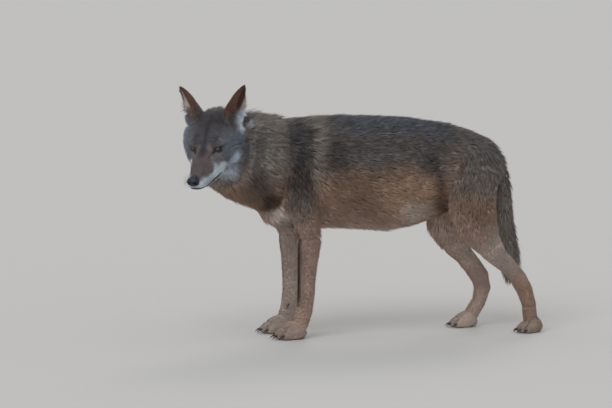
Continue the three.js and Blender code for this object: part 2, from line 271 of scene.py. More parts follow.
# ---- Skin ----
# The wolf without its coat: one closed surface from the nose to the tail and the toes, which lies
# inside the outline by the depth of the hair. It is drawn as a field of distances, coarse for the
# body and fine for the head, where the lids, the lips and the brows are cut.
FLESH = [name for name in nodes if not any(part in name for part in ("claw", "eye", "nose"))]
HEAD_FLESH = ["head", "muzzle", "jaw", "neck"]
EAR_NODES = ["ear_left", "ear_right"]
PAW_REACH = 0.012
PAW_MARGIN = 0.006
CLEFT_DEPTH = 0.0062
CLEFT_HALF = 2.3
EAR_THINNING = 0.0002
EAR_FILLET = 0.008
ROUNDED_BY_DEPTH = (0.004, 0.014)
FACE_SOFTNESS = 0.55
FEET_BELOW = (0.045, 0.06)
FEET_DRAWN_IN = 0.004
BODY_VOXEL = 0.003
HEAD_VOXEL = 0.0015
JOIN_AT = head(-152, 0, 60)
HEAD_JOIN_WAY = np.array([0.885, 0, 0.469])
JOIN_WAY = HEAD_JOIN_WAY @ HEAD_AXES
JOIN_OVERLAP = 0.008
CUT_WIDTH = 0.0006


def read(items, name, width, kind=np.float32):
    """One row of values for each point, corner or triangle of a mesh."""
    values = np.empty(len(items) * width, kind)
    items.foreach_get(name, values)
    return values.reshape(-1, width)


def mesh_arrays(mesh):
    mesh.calc_loop_triangles()
    return read(mesh.vertices, "co", 3), read(mesh.loop_triangles, "vertices", 3, np.int32)


def joined_arrays(names):
    all_points, all_triangles, count = [], [], 0
    for name in names:
        points, triangles = mesh_arrays(nodes[name].data)
        all_points.append(points)
        all_triangles.append(triangles + count)
        count += len(points)
    return np.concatenate(all_points), np.concatenate(all_triangles)


def distance_field(names, voxel, reach, low=None, high=None, seam=CUT_WIDTH):
    """Distances to the outline of some nodes with the cuts between them closed, as an array."""
    points, triangles = joined_arrays(names)
    scale = vdb.createLinearTransform(voxelSize=voxel)
    rough = vdb.FloatGrid.createLevelSetFromPolygons(
        points, triangles=triangles, transform=scale, halfWidth=3)
    points, quads = rough.convertToQuads(isovalue=seam)
    low = points.min(0) - 4 * voxel if low is None else low
    high = points.max(0) + 4 * voxel if high is None else high
    whole = vdb.FloatGrid.createLevelSetFromPolygons(
        points, quads=quads, transform=scale, halfWidth=reach / voxel)
    first = np.floor(np.asarray(low) / voxel).astype(int)
    last = np.ceil(np.asarray(high) / voxel).astype(int)
    field = np.empty(last - first, np.float32)
    whole.copyToArray(field, ijk=tuple(int(v) for v in first))
    return field, first


def blur(field, width, passes):
    """Running means along each axis, over an odd number of cells."""
    half = width // 2
    for axis in [0, 1, 2] * passes:
        spread = [(half + 1, half) if k == axis else (0, 0) for k in range(3)]
        total = np.cumsum(np.pad(field, spread, mode="edge"), axis=axis, dtype=np.float32)
        size = field.shape[axis]
        upper = np.take(total, np.arange(width, width + size), axis=axis)
        lower = np.take(total, np.arange(0, size), axis=axis)
        field = (upper - lower) / width
    return field


def stretched(coarse, step, shape):
    """A coarse array read between its cells, step fine cells apart."""
    for axis, size in enumerate(shape):
        place = np.arange(size) / step
        lower = np.minimum(place.astype(int), coarse.shape[axis] - 2)
        part = (place - lower).astype(np.float32).reshape([-1 if k == axis else 1 for k in range(3)])
        near, far = np.take(coarse, lower, axis=axis), np.take(coarse, lower + 1, axis=axis)
        coarse = near + (far - near) * part
    return coarse


def coat_depth(first, shape, voxel, step):
    sizes = [size // step + 2 for size in shape]
    axes = [(first[k] + step * np.arange(sizes[k])) * voxel for k in range(3)]
    places = np.stack(np.meshgrid(*axes, indexing="ij"), -1).reshape(-1, 3)
    depth = lie_at(places)[1].reshape(sizes).astype(np.float32)
    return stretched(depth, step, shape)


def smooth(value, start, end):
    """Rises gently from 0 at the start to 1 at the end."""
    t = np.clip((value - start) / (end - start), 0, 1)
    return t * t * (3 - 2 * t)


def skin_field(field, first, voxel, step, wide, fine, least=0.0):
    """Rounds the facets off, the more where the coat is deep, and draws the surface inwards."""
    depth = coat_depth(first, field.shape, voxel, step)
    soft = least + (1 - least) * smooth(depth, *ROUNDED_BY_DEPTH)
    light = blur(field, *fine)
    return light + (blur(light, *wide) - light) * soft + depth


def as_mesh(field, first, voxel):
    grid = vdb.FloatGrid(float(field.max()))
    grid.transform = vdb.createLinearTransform(voxelSize=voxel)
    grid.copyFromArray(field, ijk=tuple(int(v) for v in first))
    grid.gridClass = vdb.GridClass.LEVEL_SET
    points, quads = grid.convertToQuads(isovalue=0)
    return points, quads[:, ::-1]


def smooth_join(a, b, reach):
    """The nearer of two fields, with a fillet between them."""
    part = np.clip(0.5 + 0.5 * (b - a) / reach, 0, 1)
    return b + (a - b) * part - reach * part * (1 - part)


body_field, body_first = distance_field(FLESH, BODY_VOXEL, 0.033)
body_field = skin_field(body_field, body_first, BODY_VOXEL, 6, wide=(5, 3), fine=(3, 1))


def plane_field(first, shape, voxel):
    x, y, z = [((first[k] + np.arange(shape[k])) * voxel - JOIN_AT[k]) * JOIN_WAY[k] for k in range(3)]
    return (x[:, None, None] + y[None, :, None] + z[None, None, :]).astype(np.float32)


# The feet are drawn in here, because each has a finer field of its own.
heights = (body_first[2] + np.arange(body_field.shape[2])) * BODY_VOXEL
body_field += FEET_DRAWN_IN * (1 - smooth(heights, *FEET_BELOW))[None, None, :].astype(np.float32)
behind_head = plane_field(body_first, body_field.shape, BODY_VOXEL)
body_mesh = as_mesh(np.maximum(body_field, behind_head - JOIN_OVERLAP), body_first, BODY_VOXEL)
del behind_head


def between_toes(x, y):
    """How deep in the clefts between the toes a place is, from 0 to 1; x and y as on the body."""
    deep = np.zeros(np.broadcast(x, y).shape)
    for paw_x, paw_y, turn, size in PAWS.values():
        cos, sin = math.cos(math.radians(180 + turn)), math.sin(math.radians(180 + turn))
        onward = ((x - paw_x) * cos + (y - paw_y) * sin) / size
        aside = ((y - paw_y) * cos - (x - paw_x) * sin) / size
        near = smooth(onward, -2, 26) * (onward < 80) * (np.abs(aside) < 60)
        for middle_line in (-20, 0, 20):
            line = middle_line * (0.86 + 0.0045 * np.clip(onward + 8, 0, 60))
            deep = np.maximum(deep, near * np.exp(-((aside - line) / CLEFT_HALF) ** 2))
    return deep


skin_meshes = [body_mesh]
for name in ("forepaw_left", "forepaw_right", "hindpaw_left", "hindpaw_right"):
    low, high = [np.array(corner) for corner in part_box(name)]
    leg = name.replace("paw", "leg")
    low, high = low - PAW_MARGIN, high + [PAW_MARGIN, PAW_MARGIN, 0]
    paw_field, paw_first = distance_field([name, leg], HEAD_VOXEL, PAW_REACH, low, high)
    paw_field = skin_field(paw_field, paw_first, HEAD_VOXEL, 8, wide=(5, 1), fine=(3, 1))
    cells = [(paw_first[k] + np.arange(paw_field.shape[k])) * HEAD_VOXEL for k in (0, 1)]
    paw_x, paw_y = [(cells[k] - BODY_AT[k]) * 1000 for k in (0, 1)]
    clefts = between_toes(paw_x[:, None], paw_y[None, :])
    paw_field = paw_field + CLEFT_DEPTH * clefts[:, :, None].astype(np.float32)
    skin_meshes.append(as_mesh(paw_field, paw_first, HEAD_VOXEL))

face_boxes = [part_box(name) for name in HEAD_FLESH[:3] + EAR_NODES]
head_low = np.min([np.array(low) for low, high in face_boxes], axis=0) - 0.01
head_high = np.max([np.array(high) for low, high in face_boxes], axis=0) + 0.03
head_field, head_first = distance_field(HEAD_FLESH + EAR_NODES, HEAD_VOXEL, 0.03, head_low, head_high)
head_field = skin_field(head_field, head_first, HEAD_VOXEL, 10, wide=(9, 2), fine=(5, 2), least=FACE_SOFTNESS)
ear_field = blur(distance_field(EAR_NODES, HEAD_VOXEL, PAW_REACH, head_low, head_high, seam=0)[0], 3, 1)
head_field = smooth_join(head_field, ear_field + EAR_THINNING, EAR_FILLET)
del ear_field


def cells_in_head(field, first, voxel):
    """Places of a field's cells along the head's axes."""
    cells = [(first[k] + np.arange(field.shape[k])) * voxel for k in range(3)]
    x, y, z = [(cells[k] - HEAD_AT[k]) / HEAD_UNIT for k in range(3)]
    x, y, z = x[:, None, None], y[None, :, None], z[None, None, :]
    return [(x * axis[0] + y * axis[1] + z * axis[2]).astype(np.float32) for axis in HEAD_AXES]


head_places = cells_in_head(head_field, head_first, HEAD_VOXEL)
head_x, head_y, head_z = head_places

# Eyelids: a thin shell over each ball, slit open as an almond whose outer corner is the higher.
LID_RADIUS = 13.8
LID_FILLET = 0.007
BROW_AT = np.array([-3, 33, 16])
BROW_RADII = np.array([18, 16, 6])
BROW_FILLET = 0.011
BALL_RADIUS = 11.0
BALL_PLAY = 0.1
OPENING_FROM = 2
LID_LENGTH = 10.6
LID_RISE = 7.6
LID_DROP = 6.8
LID_ROUNDNESS = 0.75
LID_SLANT = math.radians(12)
LID_WAY = np.array([0.74, 0.60, 0.26])


def eye_axes(side):
    """Outward, from the inner to the outer corner, and up, in the head's axes."""
    out = LID_WAY * [1, side, 1] / np.linalg.norm(LID_WAY)
    level = np.cross([0, 0, 1], out) * side
    level /= np.linalg.norm(level)
    up = np.cross(out, level) * side
    along = level * math.cos(LID_SLANT) + up * math.sin(LID_SLANT)
    upper = up * math.cos(LID_SLANT) - level * math.sin(LID_SLANT)
    return out, along, upper


for side in (1, -1):
    at = EYE_AT * [1, side, 1]
    out, along, upper = eye_axes(side)
    dx, dy, dz = head_x - at[0], head_y - at[1], head_z - at[2]
    ball = np.sqrt(dx * dx + dy * dy + dz * dz)
    front = dx * out[0] + dy * out[1] + dz * out[2]
    across = dx * along[0] + dy * along[1] + dz * along[2]
    height = dx * upper[0] + dy * upper[1] + dz * upper[2]
    head_field = smooth_join(head_field, (ball - LID_RADIUS) * HEAD_UNIT, LID_FILLET)
    brow = BROW_AT * [1, side, 1]
    ridge = np.sqrt(sum(((head_places[k] - brow[k]) / BROW_RADII[k]) ** 2 for k in range(3)))
    head_field = smooth_join(head_field, ((ridge - 1) * BROW_RADII[2]) * HEAD_UNIT, BROW_FILLET)
    arch = np.clip(1 - (across / LID_LENGTH) ** 2, 0, 1) ** LID_ROUNDNESS
    slit = np.maximum(height - LID_RISE * arch, -LID_DROP * arch - height)
    slit = np.maximum(slit, np.abs(across) - LID_LENGTH)
    opening = np.maximum(slit, OPENING_FROM - front)
    head_field = np.maximum(head_field, -opening * HEAD_UNIT)
    head_field = np.maximum(head_field, (BALL_RADIUS + BALL_PLAY - ball) * HEAD_UNIT)
del dx, dy, dz, ball, front, across, height, arch, slit, opening, ridge

# Mouth: a slit between the upper lip and the jaw, from below the nose to the corner of the cheek.
MOUTH_CORNER_X = 16
MOUTH_HALF = 1.5
MOUTH_DEPTH = 3.8
MOUTH_LEVEL = -84.5
CORNER_RISE, CORNER_FROM = 0.0015, 60
FRONT_RISE, FRONT_FROM = 0.0030, 70


def mouth_height(x):
    """The slit sinks from the corner, runs level, and rises again below the nose."""
    back = np.clip(CORNER_FROM - x, 0, 60)
    front = np.clip(x - FRONT_FROM, 0, 80)
    return MOUTH_LEVEL + CORNER_RISE * back ** 2 + FRONT_RISE * front ** 2


slit = np.maximum(np.abs(head_z - mouth_height(head_x)) - MOUTH_HALF, MOUTH_CORNER_X - head_x)
slit = np.maximum(slit, -MOUTH_DEPTH - head_field / HEAD_UNIT)
head_field = np.maximum(head_field, -slit * HEAD_UNIT)
del slit

before_join = plane_field(head_first, head_field.shape, HEAD_VOXEL)
head_mesh = as_mesh(np.maximum(head_field, -before_join - JOIN_OVERLAP), head_first, HEAD_VOXEL)
del before_join

skin_meshes.append(head_mesh)
counts = np.cumsum([0] + [len(points) for points, quads in skin_meshes])
skin_points = np.concatenate([points for points, quads in skin_meshes])
skin_quads = np.concatenate([quads + count for (points, quads), count in zip(skin_meshes, counts)])
whole = vdb.FloatGrid.createLevelSetFromPolygons(
    skin_points, quads=skin_quads, transform=vdb.createLinearTransform(voxelSize=HEAD_VOXEL), halfWidth=3)
# Flat stretches take large faces and the folds of the face keep small ones.
SKIN_COARSENESS = 0.03
SKIN_SWELL = 0.0001
SOLE_HEIGHT = 0.0004
skin_points, skin_triangles, skin_quads = whole.convertToPolygons(
    isovalue=SKIN_SWELL, adaptivity=SKIN_COARSENESS)
skin_points[:, 2] = np.maximum(skin_points[:, 2], SOLE_HEIGHT)


def mesh_object(name, points, *face_sets):
    """A smooth piece from points and arrays of faces, each array with its own number of sides."""
    mesh = bpy.data.meshes.new(name)
    face_sets = [np.asarray(faces, np.int32) for faces in face_sets if len(faces)]
    mesh.vertices.add(len(points))
    mesh.vertices.foreach_set("co", np.asarray(points, np.float32).ravel())
    corners = np.concatenate([faces.ravel() for faces in face_sets])
    sides = np.concatenate([np.full(len(faces), faces.shape[1]) for faces in face_sets])
    mesh.loops.add(len(corners))
    mesh.loops.foreach_set("vertex_index", corners)
    mesh.polygons.add(len(sides))
    mesh.polygons.foreach_set("loop_start", np.concatenate([[0], np.cumsum(sides)[:-1]]).astype(np.int32))
    mesh.update(calc_edges=True)
    mesh.shade_smooth()
    return put_in_scene(name, mesh)


skin_triangles, skin_quads = skin_triangles[:, ::-1], skin_quads[:, ::-1]
skin = mesh_object("skin", skin_points, skin_triangles, skin_quads)


# ---- Markings ----
# Grey wolf of the Iberian kind: a slate saddle along the back, a grizzled grey-brown upper flank,
# a tawny lower flank and legs, a dark line down each foreleg, dark and pale bands on the shoulder
# and neck, a white muzzle side, and a dark tail tip. Skin and hair take their colours from here.
def tone(code):
    parts = np.array([(code >> shift) & 255 for shift in (16, 8, 0)]) / 255
    return np.where(parts > 0.04045, ((parts + 0.055) / 1.055) ** 2.4, parts / 12.92)


BACK_LINE = np.array([(-540, 640), (-430, 766), (-310, 777), (-180, 778), (-60, 772), (50, 765),
                      (150, 749), (245, 718), (318, 682), (368, 638)])
LIP_TOP = np.array([(-12, -52), (2, -42), (14, -35), (30, -38), (44, -50), (60, -55), (80, -54),
                    (105, -47), (140, -44)])
# SADDLE is the back's own grey with a painted blue cast of skylight.
GRIZZLE, SLATE, SADDLE, SOOT = tone(0x918a86), tone(0x545256), tone(0x7f848f), tone(0x262324)
TAWNY, SAND, BUFF, CREAM = tone(0xb29581), tone(0xbca08e), tone(0xc2b8ae), tone(0xdcd5cd)
LEG, ROSE, FACE, BLUE_GREY = tone(0xc8ac9e), tone(0x776b6c), tone(0x7c7a80), tone(0x8b95a5)
# WHITE is the coat's own white with a painted blue cast of skylight.
WHITE, EAR_BACK, BRISKET, FLANK = tone(0xe4f1ff), tone(0x6b4e43), tone(0xefe1d8), tone(0xd0b098)


def ripple(points, size, seed):
    """A smooth wavering between -1 and 1; size is the length of a wave in metres."""
    turns = np.random.default_rng(seed)
    total = np.zeros(len(points))
    for _ in range(5):
        way = turns.normal(size=3)
        way /= np.linalg.norm(way)
        stretch = turns.uniform(0.6, 1.7)
        total += np.sin(points @ way * 2 * np.pi * stretch / size + turns.uniform(0, 2 * np.pi))
    return total / 2.6


def in_head(points):
    return (points - HEAD_AT) @ HEAD_AXES.T / HEAD_UNIT


def in_body(points):
    return (points - BODY_AT) * 1000


def ear_places(face):
    """For each ear: how surely a place is on it, how far up it is, and how far towards its outer edge."""
    for root, tip, open_way, edge in EARS.values():
        along, off = from_line(face, root, tip)
        on_ear = (1 - smooth(np.linalg.norm(off, axis=1), 34, 44)) * smooth(along, 0.02, 0.2)
        yield on_ear * (face[:, 2] > 58), along, off @ np.array(open_way) / np.linalg.norm(open_way), edge


def markings(points):
    """Colour of the coat at each point. The right side has the left side's marks, mirrored, but for the
    painted light on the right foreleg.
    """
    at, face = in_body(points), in_head(points)
    x, y, z = at[:, 0], np.abs(at[:, 1]), at[:, 2]
    hx, hy, hz = face[:, 0], np.abs(face[:, 1]), face[:, 2]
    mirrored, mirrored_face = np.stack([x, y, z], 1), np.stack([hx, hy, hz], 1)
    wave, mottle = ripple(points, 0.16, 3), ripple(points, 0.045, 4)
    colour = np.tile(TAWNY, (len(points), 1))

    def paint(hue, amount):
        nonlocal colour
        colour = colour + (hue - colour) * np.clip(amount, 0, 1)[:, None]

    def spot(places, centre, radii, edge=0.5):
        off = np.linalg.norm((places - np.array(centre)) / np.array(radii), axis=1)
        return 1 - smooth(off + 0.16 * mottle, 1 - edge, 1 + edge)

    def patch(hue, amount, centre, radii, edge=0.5):
        paint(hue, amount * spot(mirrored, centre, radii, edge))

    def head_patch(hue, amount, centre, radii):
        paint(hue, amount * on_head * spot(mirrored_face, centre, radii))

    def band(hue, amount, start, end, radius, edge=0.6):
        off = np.linalg.norm(from_line(mirrored, start, end)[1] * [1, 0.35, 1], axis=1) / radius
        paint(hue, amount * (1 - smooth(off + 0.2 * mottle, 1 - edge, 1 + edge)))

    under_back = np.interp(x, BACK_LINE[:, 0], BACK_LINE[:, 1]) - z
    # Flank: tawny below, grizzled above, slate on the saddle, its blue tint a painted cast of skylight.
    paint(SAND, smooth(-z + 14 * wave, -470, -420) * (x < 190))
    paint(GRIZZLE, smooth(z + 26 * wave + 8 * mottle, 515, 655))
    patch(FLANK, 0.75, (10, 110, 506), (120, 90, 70))
    paint(SLATE, 0.30 * smooth(-under_back + 14 * mottle, -190, -90) * smooth(x, -300, -200))
    saddle = (1 - smooth(under_back + 12 * mottle, 34, 84)) * smooth(x, -300, -190) * smooth(-x, -350, -300)
    paint(SADDLE, 0.9 * saddle)
    paint(SOOT, 0.45 * saddle * smooth(mottle + 0.5 * wave, 0.1, 0.9))
    # Shoulder and neck: alternating dark and pale bands.
    band(BUFF, 0.60, (-304, 40, 768), (-318, 130, 560), 26, 0.7)
    band(SLATE, 0.85, (-370, 88, 735), (-380, 134, 510), 42, 0.7)
    patch(SLATE, 0.65, (-250, 131, 646), (48, 60, 58))
    band(BUFF, 0.35, (-440, 100, 735), (-436, 135, 630), 26)
    band(BUFF, 0.66, (-512, 111, 765), (-466, 141, 600), 36)
    patch(SLATE, 0.45, (-522, 112, 722), (30, 60, 26))
    patch(GRIZZLE, 0.5, (-560, 90, 760), (60, 80, 40))
    patch(BUFF, 0.30, (-420, 40, 776), (60, 70, 26))
    patch(SLATE, 0.66, (-528, 152, 545), (44, 90, 54), 0.7)
    patch(GRIZZLE, 0.60, (-372, 130, 460), (60, 80, 60), 0.8)
    patch(SOOT, 0.8, (-488, 96, 482), (30, 74, 40), 0.7)
    patch(BRISKET, 0.9, (-446, 70, 424), (42, 80, 32))
    # Loin, groin and rump.
    patch(SLATE, 0.60, (84, 118, 600), (34, 60, 42))
    band(SOOT, 0.58, (120, 120, 600), (124, 100, 462), 21, 0.8)
    patch(CREAM, 0.50, (36, 90, 432), (60, 70, 38))
    haunch = smooth(x, 120, 220) * smooth(z + 16 * wave, 430, 520)
    paint(GRIZZLE, 0.85 * haunch)
    patch(TAWNY, 0.40, (172, 110, 600), (52, 70, 50))
    paint(SOOT, 0.75 * spot(at, (352, 0, 622), (44, 60, 66)))
    # Legs: clear tawny, paler inside and on the feet, a dark line down the front of each foreleg.
    # The inner sides are also painted paler, as light against the shade between the legs.
    on_leg = smooth(-z, -430, -350)
    paint(LEG, 0.9 * on_leg)
    # The inner sides' own paler hair, painted paler still as light against the shade between the legs.
    paint(BRISKET, 0.36 * on_leg * smooth(-y, -88, -66))
    # Painted light: the right foreleg, shaded by the left one, is painted paler all round.
    paint(CREAM, 0.30 * on_leg * smooth(at[:, 1], 40, 60) * smooth(-x, 300, 340))
    patch(CREAM, 0.50, (350, 100, 290), (90, 80, 80))
    paint(TAWNY, 0.75 * on_leg * smooth(x, 380, 420) * smooth(-z, -190, -150))
    for line in FORELEG_LINES.values():
        heights = [z_at for z_at, *_ in FORELEG][::-1]
        axis_x = np.interp(z, heights, [place[0] for place in line][::-1])
        axis_y = np.interp(z, heights, [place[1] for place in line][::-1])
        stripe = np.exp(-((y - np.abs(axis_y) - 9) / 10) ** 2) * smooth(-(x - axis_x), 4, 16)
        paint(SOOT, 0.85 * stripe * smooth(z, 90, 150) * smooth(-z, -400, -340))
    paint(BUFF, 0.45 * smooth(-z, -70, -30))
    # Painted shade in the clefts between the toes.
    paint(SOOT, 0.62 * between_toes(x, at[:, 1]) * smooth(-z, -50, -40))
    # Tail: grizzled, a dark stripe down the back of it and a dark tip.
    on_tail = smooth(x, 322, 345) * (y < 70) * smooth(z, 128, 140) * smooth(-z, -640, -600)
    on_tail = on_tail * (x > 322 + 0.16 * np.clip(600 - z, 0, 200))
    paint(GRIZZLE, 0.9 * on_tail)
    paint(BUFF, 0.25 * on_tail)
    paint(SOOT, 0.45 * on_tail * smooth(x - np.interp(z, [146, 305, 455, 600], [404, 394, 376, 344]), 4, 26))
    paint(SOOT, 0.6 * on_tail * smooth(-z, -205, -150))
    # Head: grey crown, blue-grey cheeks, a dusky rose bridge, white lips and chin; the whites' blue
    # tint is a painted cast of skylight.
    on_head = smooth(face @ HEAD_JOIN_WAY, -150, -95) * (hz > -170) * (hx > -175)
    paint(FACE, on_head)
    head_patch(BLUE_GREY, 0.8, (-52, 84, -4), (60, 36, 42))
    head_patch(EAR_BACK, 0.18, (-88, 20, 76), (46, 50, 34))
    paint(TAWNY, 0.35 * on_head * smooth(-hz, 92, 122))
    paint(ROSE, 0.85 * on_head * smooth(hx, 4, 36) * smooth(hz, -66, -44))
    head_patch(TAWNY, 0.22, (36, 22, -14), (22, 9, 12))
    crown_line = np.exp(-((hy + 2 * mottle) / 11) ** 2) * smooth(hx, -110, -80) * smooth(-hx, -60, -20)
    paint(SOOT, 0.75 * on_head * (crown_line * (hz > -20)))
    head_patch(SLATE, 0.45, (-30, 20, 48), (44, 24, 34))
    head_patch(SLATE, 0.80, (-92, 24, 76), (44, 48, 36))
    head_patch(SLATE, 0.85, (-6, 26, 26), (22, 18, 15))
    head_patch(SLATE, 0.40, (26, 0, -2), (26, 12, 12))
    head_patch(TAWNY, 0.50, (6, 24, 12), (10, 8, 9))
    head_patch(BUFF, 0.30, (8, 46, -18), (16, 12, 8))
    head_patch(SLATE, 0.35, (-14, 64, -50), (14, 16, 18))
    paint(WHITE, 0.98 * spot(mirrored_face, (-44, 87, -54), (20, 30, 22), 0.6))
    paint(WHITE, 0.98 * spot(mirrored_face, (-24, 58, -96), (46, 38, 36), 0.5))
    lip_top = np.interp(hx, *LIP_TOP.T)
    lips = smooth(lip_top - hz + 6 * mottle, -8, 9) * smooth(hx, -22, 0) * (hz > -112)
    paint(WHITE, 0.97 * lips * on_head)
    under_lip = mouth_height(hx) - hz
    lip_edge = (1 - smooth(np.abs(under_lip + 1.5), 3.5, 6.5)) * smooth(hx, 7, 12)
    paint(SOOT, 0.95 * lip_edge * smooth(-hx, -100, -60) * (hy > 8))
    # Painted shadow under the upper lip, on the front of the chin below the mouth.
    paint(SOOT, 0.75 * smooth(hx, 66, 96) * smooth(under_lip, -1, 4))
    paint(BUFF, 0.35 * spot(mirrored_face, (-30, 20, -144), (60, 70, 36)))
    # Dark lines run from the eye's inner corner to the muzzle and from the outer one to the cheek.
    for *line, wide, dark in (((14, 32, -4), (42, 21, -15), 5, 0.85), ((-9, 55, 4), (-20, 65, 9), 4, 0.6)):
        along, off = from_line(mirrored_face, *line)
        near = 1 - smooth(np.linalg.norm(off, axis=1), wide * 0.5, wide * 1.6)
        paint(SOOT, dark * (1 - 0.6 * along) * near)
    around_eye = np.linalg.norm(mirrored_face - EYE_AT, axis=1)
    paint(SOOT, 0.75 * (1 - smooth(around_eye, 14, 19)))
    # Ears: dark brown, with a pale outer edge in the cup, and white at the root behind.
    for on_ear, along, outward, edge in ear_places(face):
        paint(EAR_BACK, on_ear)
        paint(SOOT, 0.45 * on_ear * smooth(along, 0.7, 1.0))
        paint(CREAM, 0.80 * on_ear * smooth(outward, *edge) * (1 - 0.8 * smooth(along, 0.75, 1.0)))
    paint(EAR_BACK, 0.75 * spot(mirrored_face, (-88, 62, 86), (24, 20, 20)))
    paint(WHITE, 0.97 * spot(mirrored_face, (-116, 96, 44), (34, 30, 30)))
    paint(WHITE, 0.90 * spot(mirrored_face, (-166, 86, 22), (26, 24, 26)))
    return colour * (1 + 0.10 * wave + 0.07 * mottle)[:, None]


def principled(name, roughness, **sockets):
    material = bpy.data.materials.new(name)
    material.use_nodes = True
    shader = material.node_tree.nodes["Principled BSDF"]
    shader.inputs["Roughness"].default_value = roughness
    for socket, value in sockets.items():
        shader.inputs[socket.replace("_", " ")].default_value = value
    return material, material.node_tree, shader


def add_node(tree, kind, **settings):
    node = tree.nodes.new(kind)
    for name, value in settings.items():
        if name in node.inputs:
            node.inputs[name].default_value = value
        else:
            setattr(node, name, value)
    return node


def texture(tree, kind, **settings):
    """A pattern that sits still on its piece."""
    pattern = add_node(tree, kind, **settings)
    place = add_node(tree, "ShaderNodeTexCoord")
    tree.links.new(place.outputs["Object"], pattern.inputs["Vector"])
    return pattern


def emboss(tree, shader, height, **settings):
    bump = add_node(tree, "ShaderNodeBump", **settings)
    tree.links.new(height, bump.inputs["Height"])
    tree.links.new(bump.outputs["Normal"], shader.inputs["Normal"])


def hair_material(name, grain, bump_height):
    """Colour from the markings, broken up by a fine grain; the grain also roughens the surface."""
    material, tree, shader = principled(name, 0.72, Specular_IOR_Level=0.22)
    paint = add_node(tree, "ShaderNodeAttribute", attribute_name="coat")
    noise = texture(tree, "ShaderNodeTexNoise", Scale=grain, Detail=3.0)
    shade = add_node(tree, "ShaderNodeMapRange")
    shade.inputs["To Min"].default_value = 0.80
    shade.inputs["To Max"].default_value = 1.20
    tree.links.new(noise.outputs["Fac"], shade.inputs["Value"])
    mix = add_node(tree, "ShaderNodeVectorMath", operation="SCALE")
    tree.links.new(paint.outputs["Color"], mix.inputs[0])
    tree.links.new(shade.outputs["Result"], mix.inputs["Scale"])
    tree.links.new(mix.outputs["Vector"], shader.inputs["Base Color"])
    if bump_height:
        emboss(tree, shader, noise.outputs["Fac"], Distance=bump_height, Strength=0.8)
    return material


def set_colours(piece, colours, name="coat"):
    layer = piece.data.color_attributes.new(name, "FLOAT_COLOR", "POINT")
    rgba = np.ones((len(piece.data.vertices), 4), np.float32)
    rgba[:, :3] = np.clip(colours, 0, 1)
    layer.data.foreach_set("color", rgba.ravel())


# ---- Short hair on the skin ----
# The hair that is too short and dense to stand as tufts is the skin's own surface, in the same
# markings, a little darker for the shade under the coat. Its unwrap places the tufts' patches.
SKIN_SHADE = 0.72
set_colours(skin, markings(skin_points.astype(float)) * SKIN_SHADE)
skin.data.materials.append(hair_material("short hair", 900, 0.0006))
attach(skin, "root")
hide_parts(*FLESH)

bpy.context.view_layer.objects.active = skin
skin.select_set(True)
bpy.ops.object.mode_set(mode="EDIT")
bpy.ops.mesh.select_all(action="SELECT")
bpy.ops.uv.smart_project(angle_limit=math.radians(66), island_margin=0.002)
bpy.ops.object.mode_set(mode="OBJECT")
skin.select_set(False)


# ---- Eyes ----
# Amber eyes with round black pupils and a dark ring at the iris' edge, under a clear wet cornea.
# Each ball is drawn in rings about the way it looks, and the iris is streaked outwards.
BALL = BALL_RADIUS * HEAD_UNIT
PUPIL_ANGLE = 12.5
IRIS_ANGLE = 39.0
CORNEA_BULGE = 0.055
GAZE = {"left": np.array([0.83, 0.36, 0.41]), "right": np.array([0.88, -0.26, 0.38])}
AMBER, AMBER_INNER, RING_BROWN, EYE_WHITE = tone(0x7c6450), tone(0x9c836e), tone(0x1c120d), tone(0x4d423d)
CORNER_SHADE = 0.6
DARK_RING = (0.86, 1.06)
EYE_SEGMENTS = 96
ring_angles = np.concatenate([[0.6], np.linspace(3, 14, 4), np.linspace(15, 38, 14), [39, 40.5, 42, 45],
                              np.linspace(52, 172, 14), [179.4]])

eye_material, tree, shader = principled("wet eye", 0.10, IOR=1.36, Specular_IOR_Level=0.35)
paint = add_node(tree, "ShaderNodeAttribute", attribute_name="iris")
tree.links.new(paint.outputs["Color"], shader.inputs["Base Color"])

for name, side in (("left", 1), ("right", -1)):
    look = GAZE[name] @ HEAD_AXES
    look /= np.linalg.norm(look)
    across = np.cross(look, [0, 0, 1])
    across /= np.linalg.norm(across)
    above = np.cross(across, look)
    turns = np.arange(EYE_SEGMENTS) * 2 * np.pi / EYE_SEGMENTS
    streak = np.random.default_rng(5).uniform(0.62, 1.15, EYE_SEGMENTS)
    streak = (streak + np.roll(streak, 1)) / 2
    points, colours = [], []
    for angle in ring_angles:
        bulge = 1 + CORNEA_BULGE * max(0, 1 - (angle / 48) ** 2)
        tilt = math.radians(angle)
        round_look = np.cos(turns)[:, None] * across + np.sin(turns)[:, None] * above
        points.append(BALL * bulge * (np.cos(tilt) * look + np.sin(tilt) * round_look))
        part = (angle - PUPIL_ANGLE) / (IRIS_ANGLE - PUPIL_ANGLE)
        if part < 0:
            hue = np.tile([0.003, 0.003, 0.003], (EYE_SEGMENTS, 1))
        elif part <= DARK_RING[0]:
            hue = (AMBER_INNER + (AMBER - AMBER_INNER) * part) * streak[:, None]
        elif part <= DARK_RING[1]:
            hue = np.tile(RING_BROWN, (EYE_SEGMENTS, 1))
        else:
            hue = np.tile(EYE_WHITE * CORNER_SHADE, (EYE_SEGMENTS, 1))
        colours.append(hue)
    points = np.concatenate(points) + HEAD_AT + HEAD_UNIT * (EYE_AT * [1, side, 1]) @ HEAD_AXES
    grid = np.arange(len(points)).reshape(-1, EYE_SEGMENTS)
    after = np.roll(grid, -1, axis=1)
    quads = np.stack([grid[:-1], grid[1:], after[1:], after[:-1]], -1).reshape(-1, 4)
    ball = mesh_object("eyeball_" + name, points, quads, grid[0][None], grid[-1][::-1][None])
    set_colours(ball, np.concatenate(colours), "iris")
    ball.data.materials.append(eye_material)
    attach(ball, "root")
    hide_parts("eye_" + name)


# ---- Eye rims ----
# The bare black edge of the lids, wet from the eye, drawn as a closed cord round the opening; it
# runs out to a point at the inner corner, over the tear duct.
RIM_RADIUS = 12.9
RIM_HALF = 0.0016
TEAR_REACH = 0.30
OUTER_REACH = 0.42


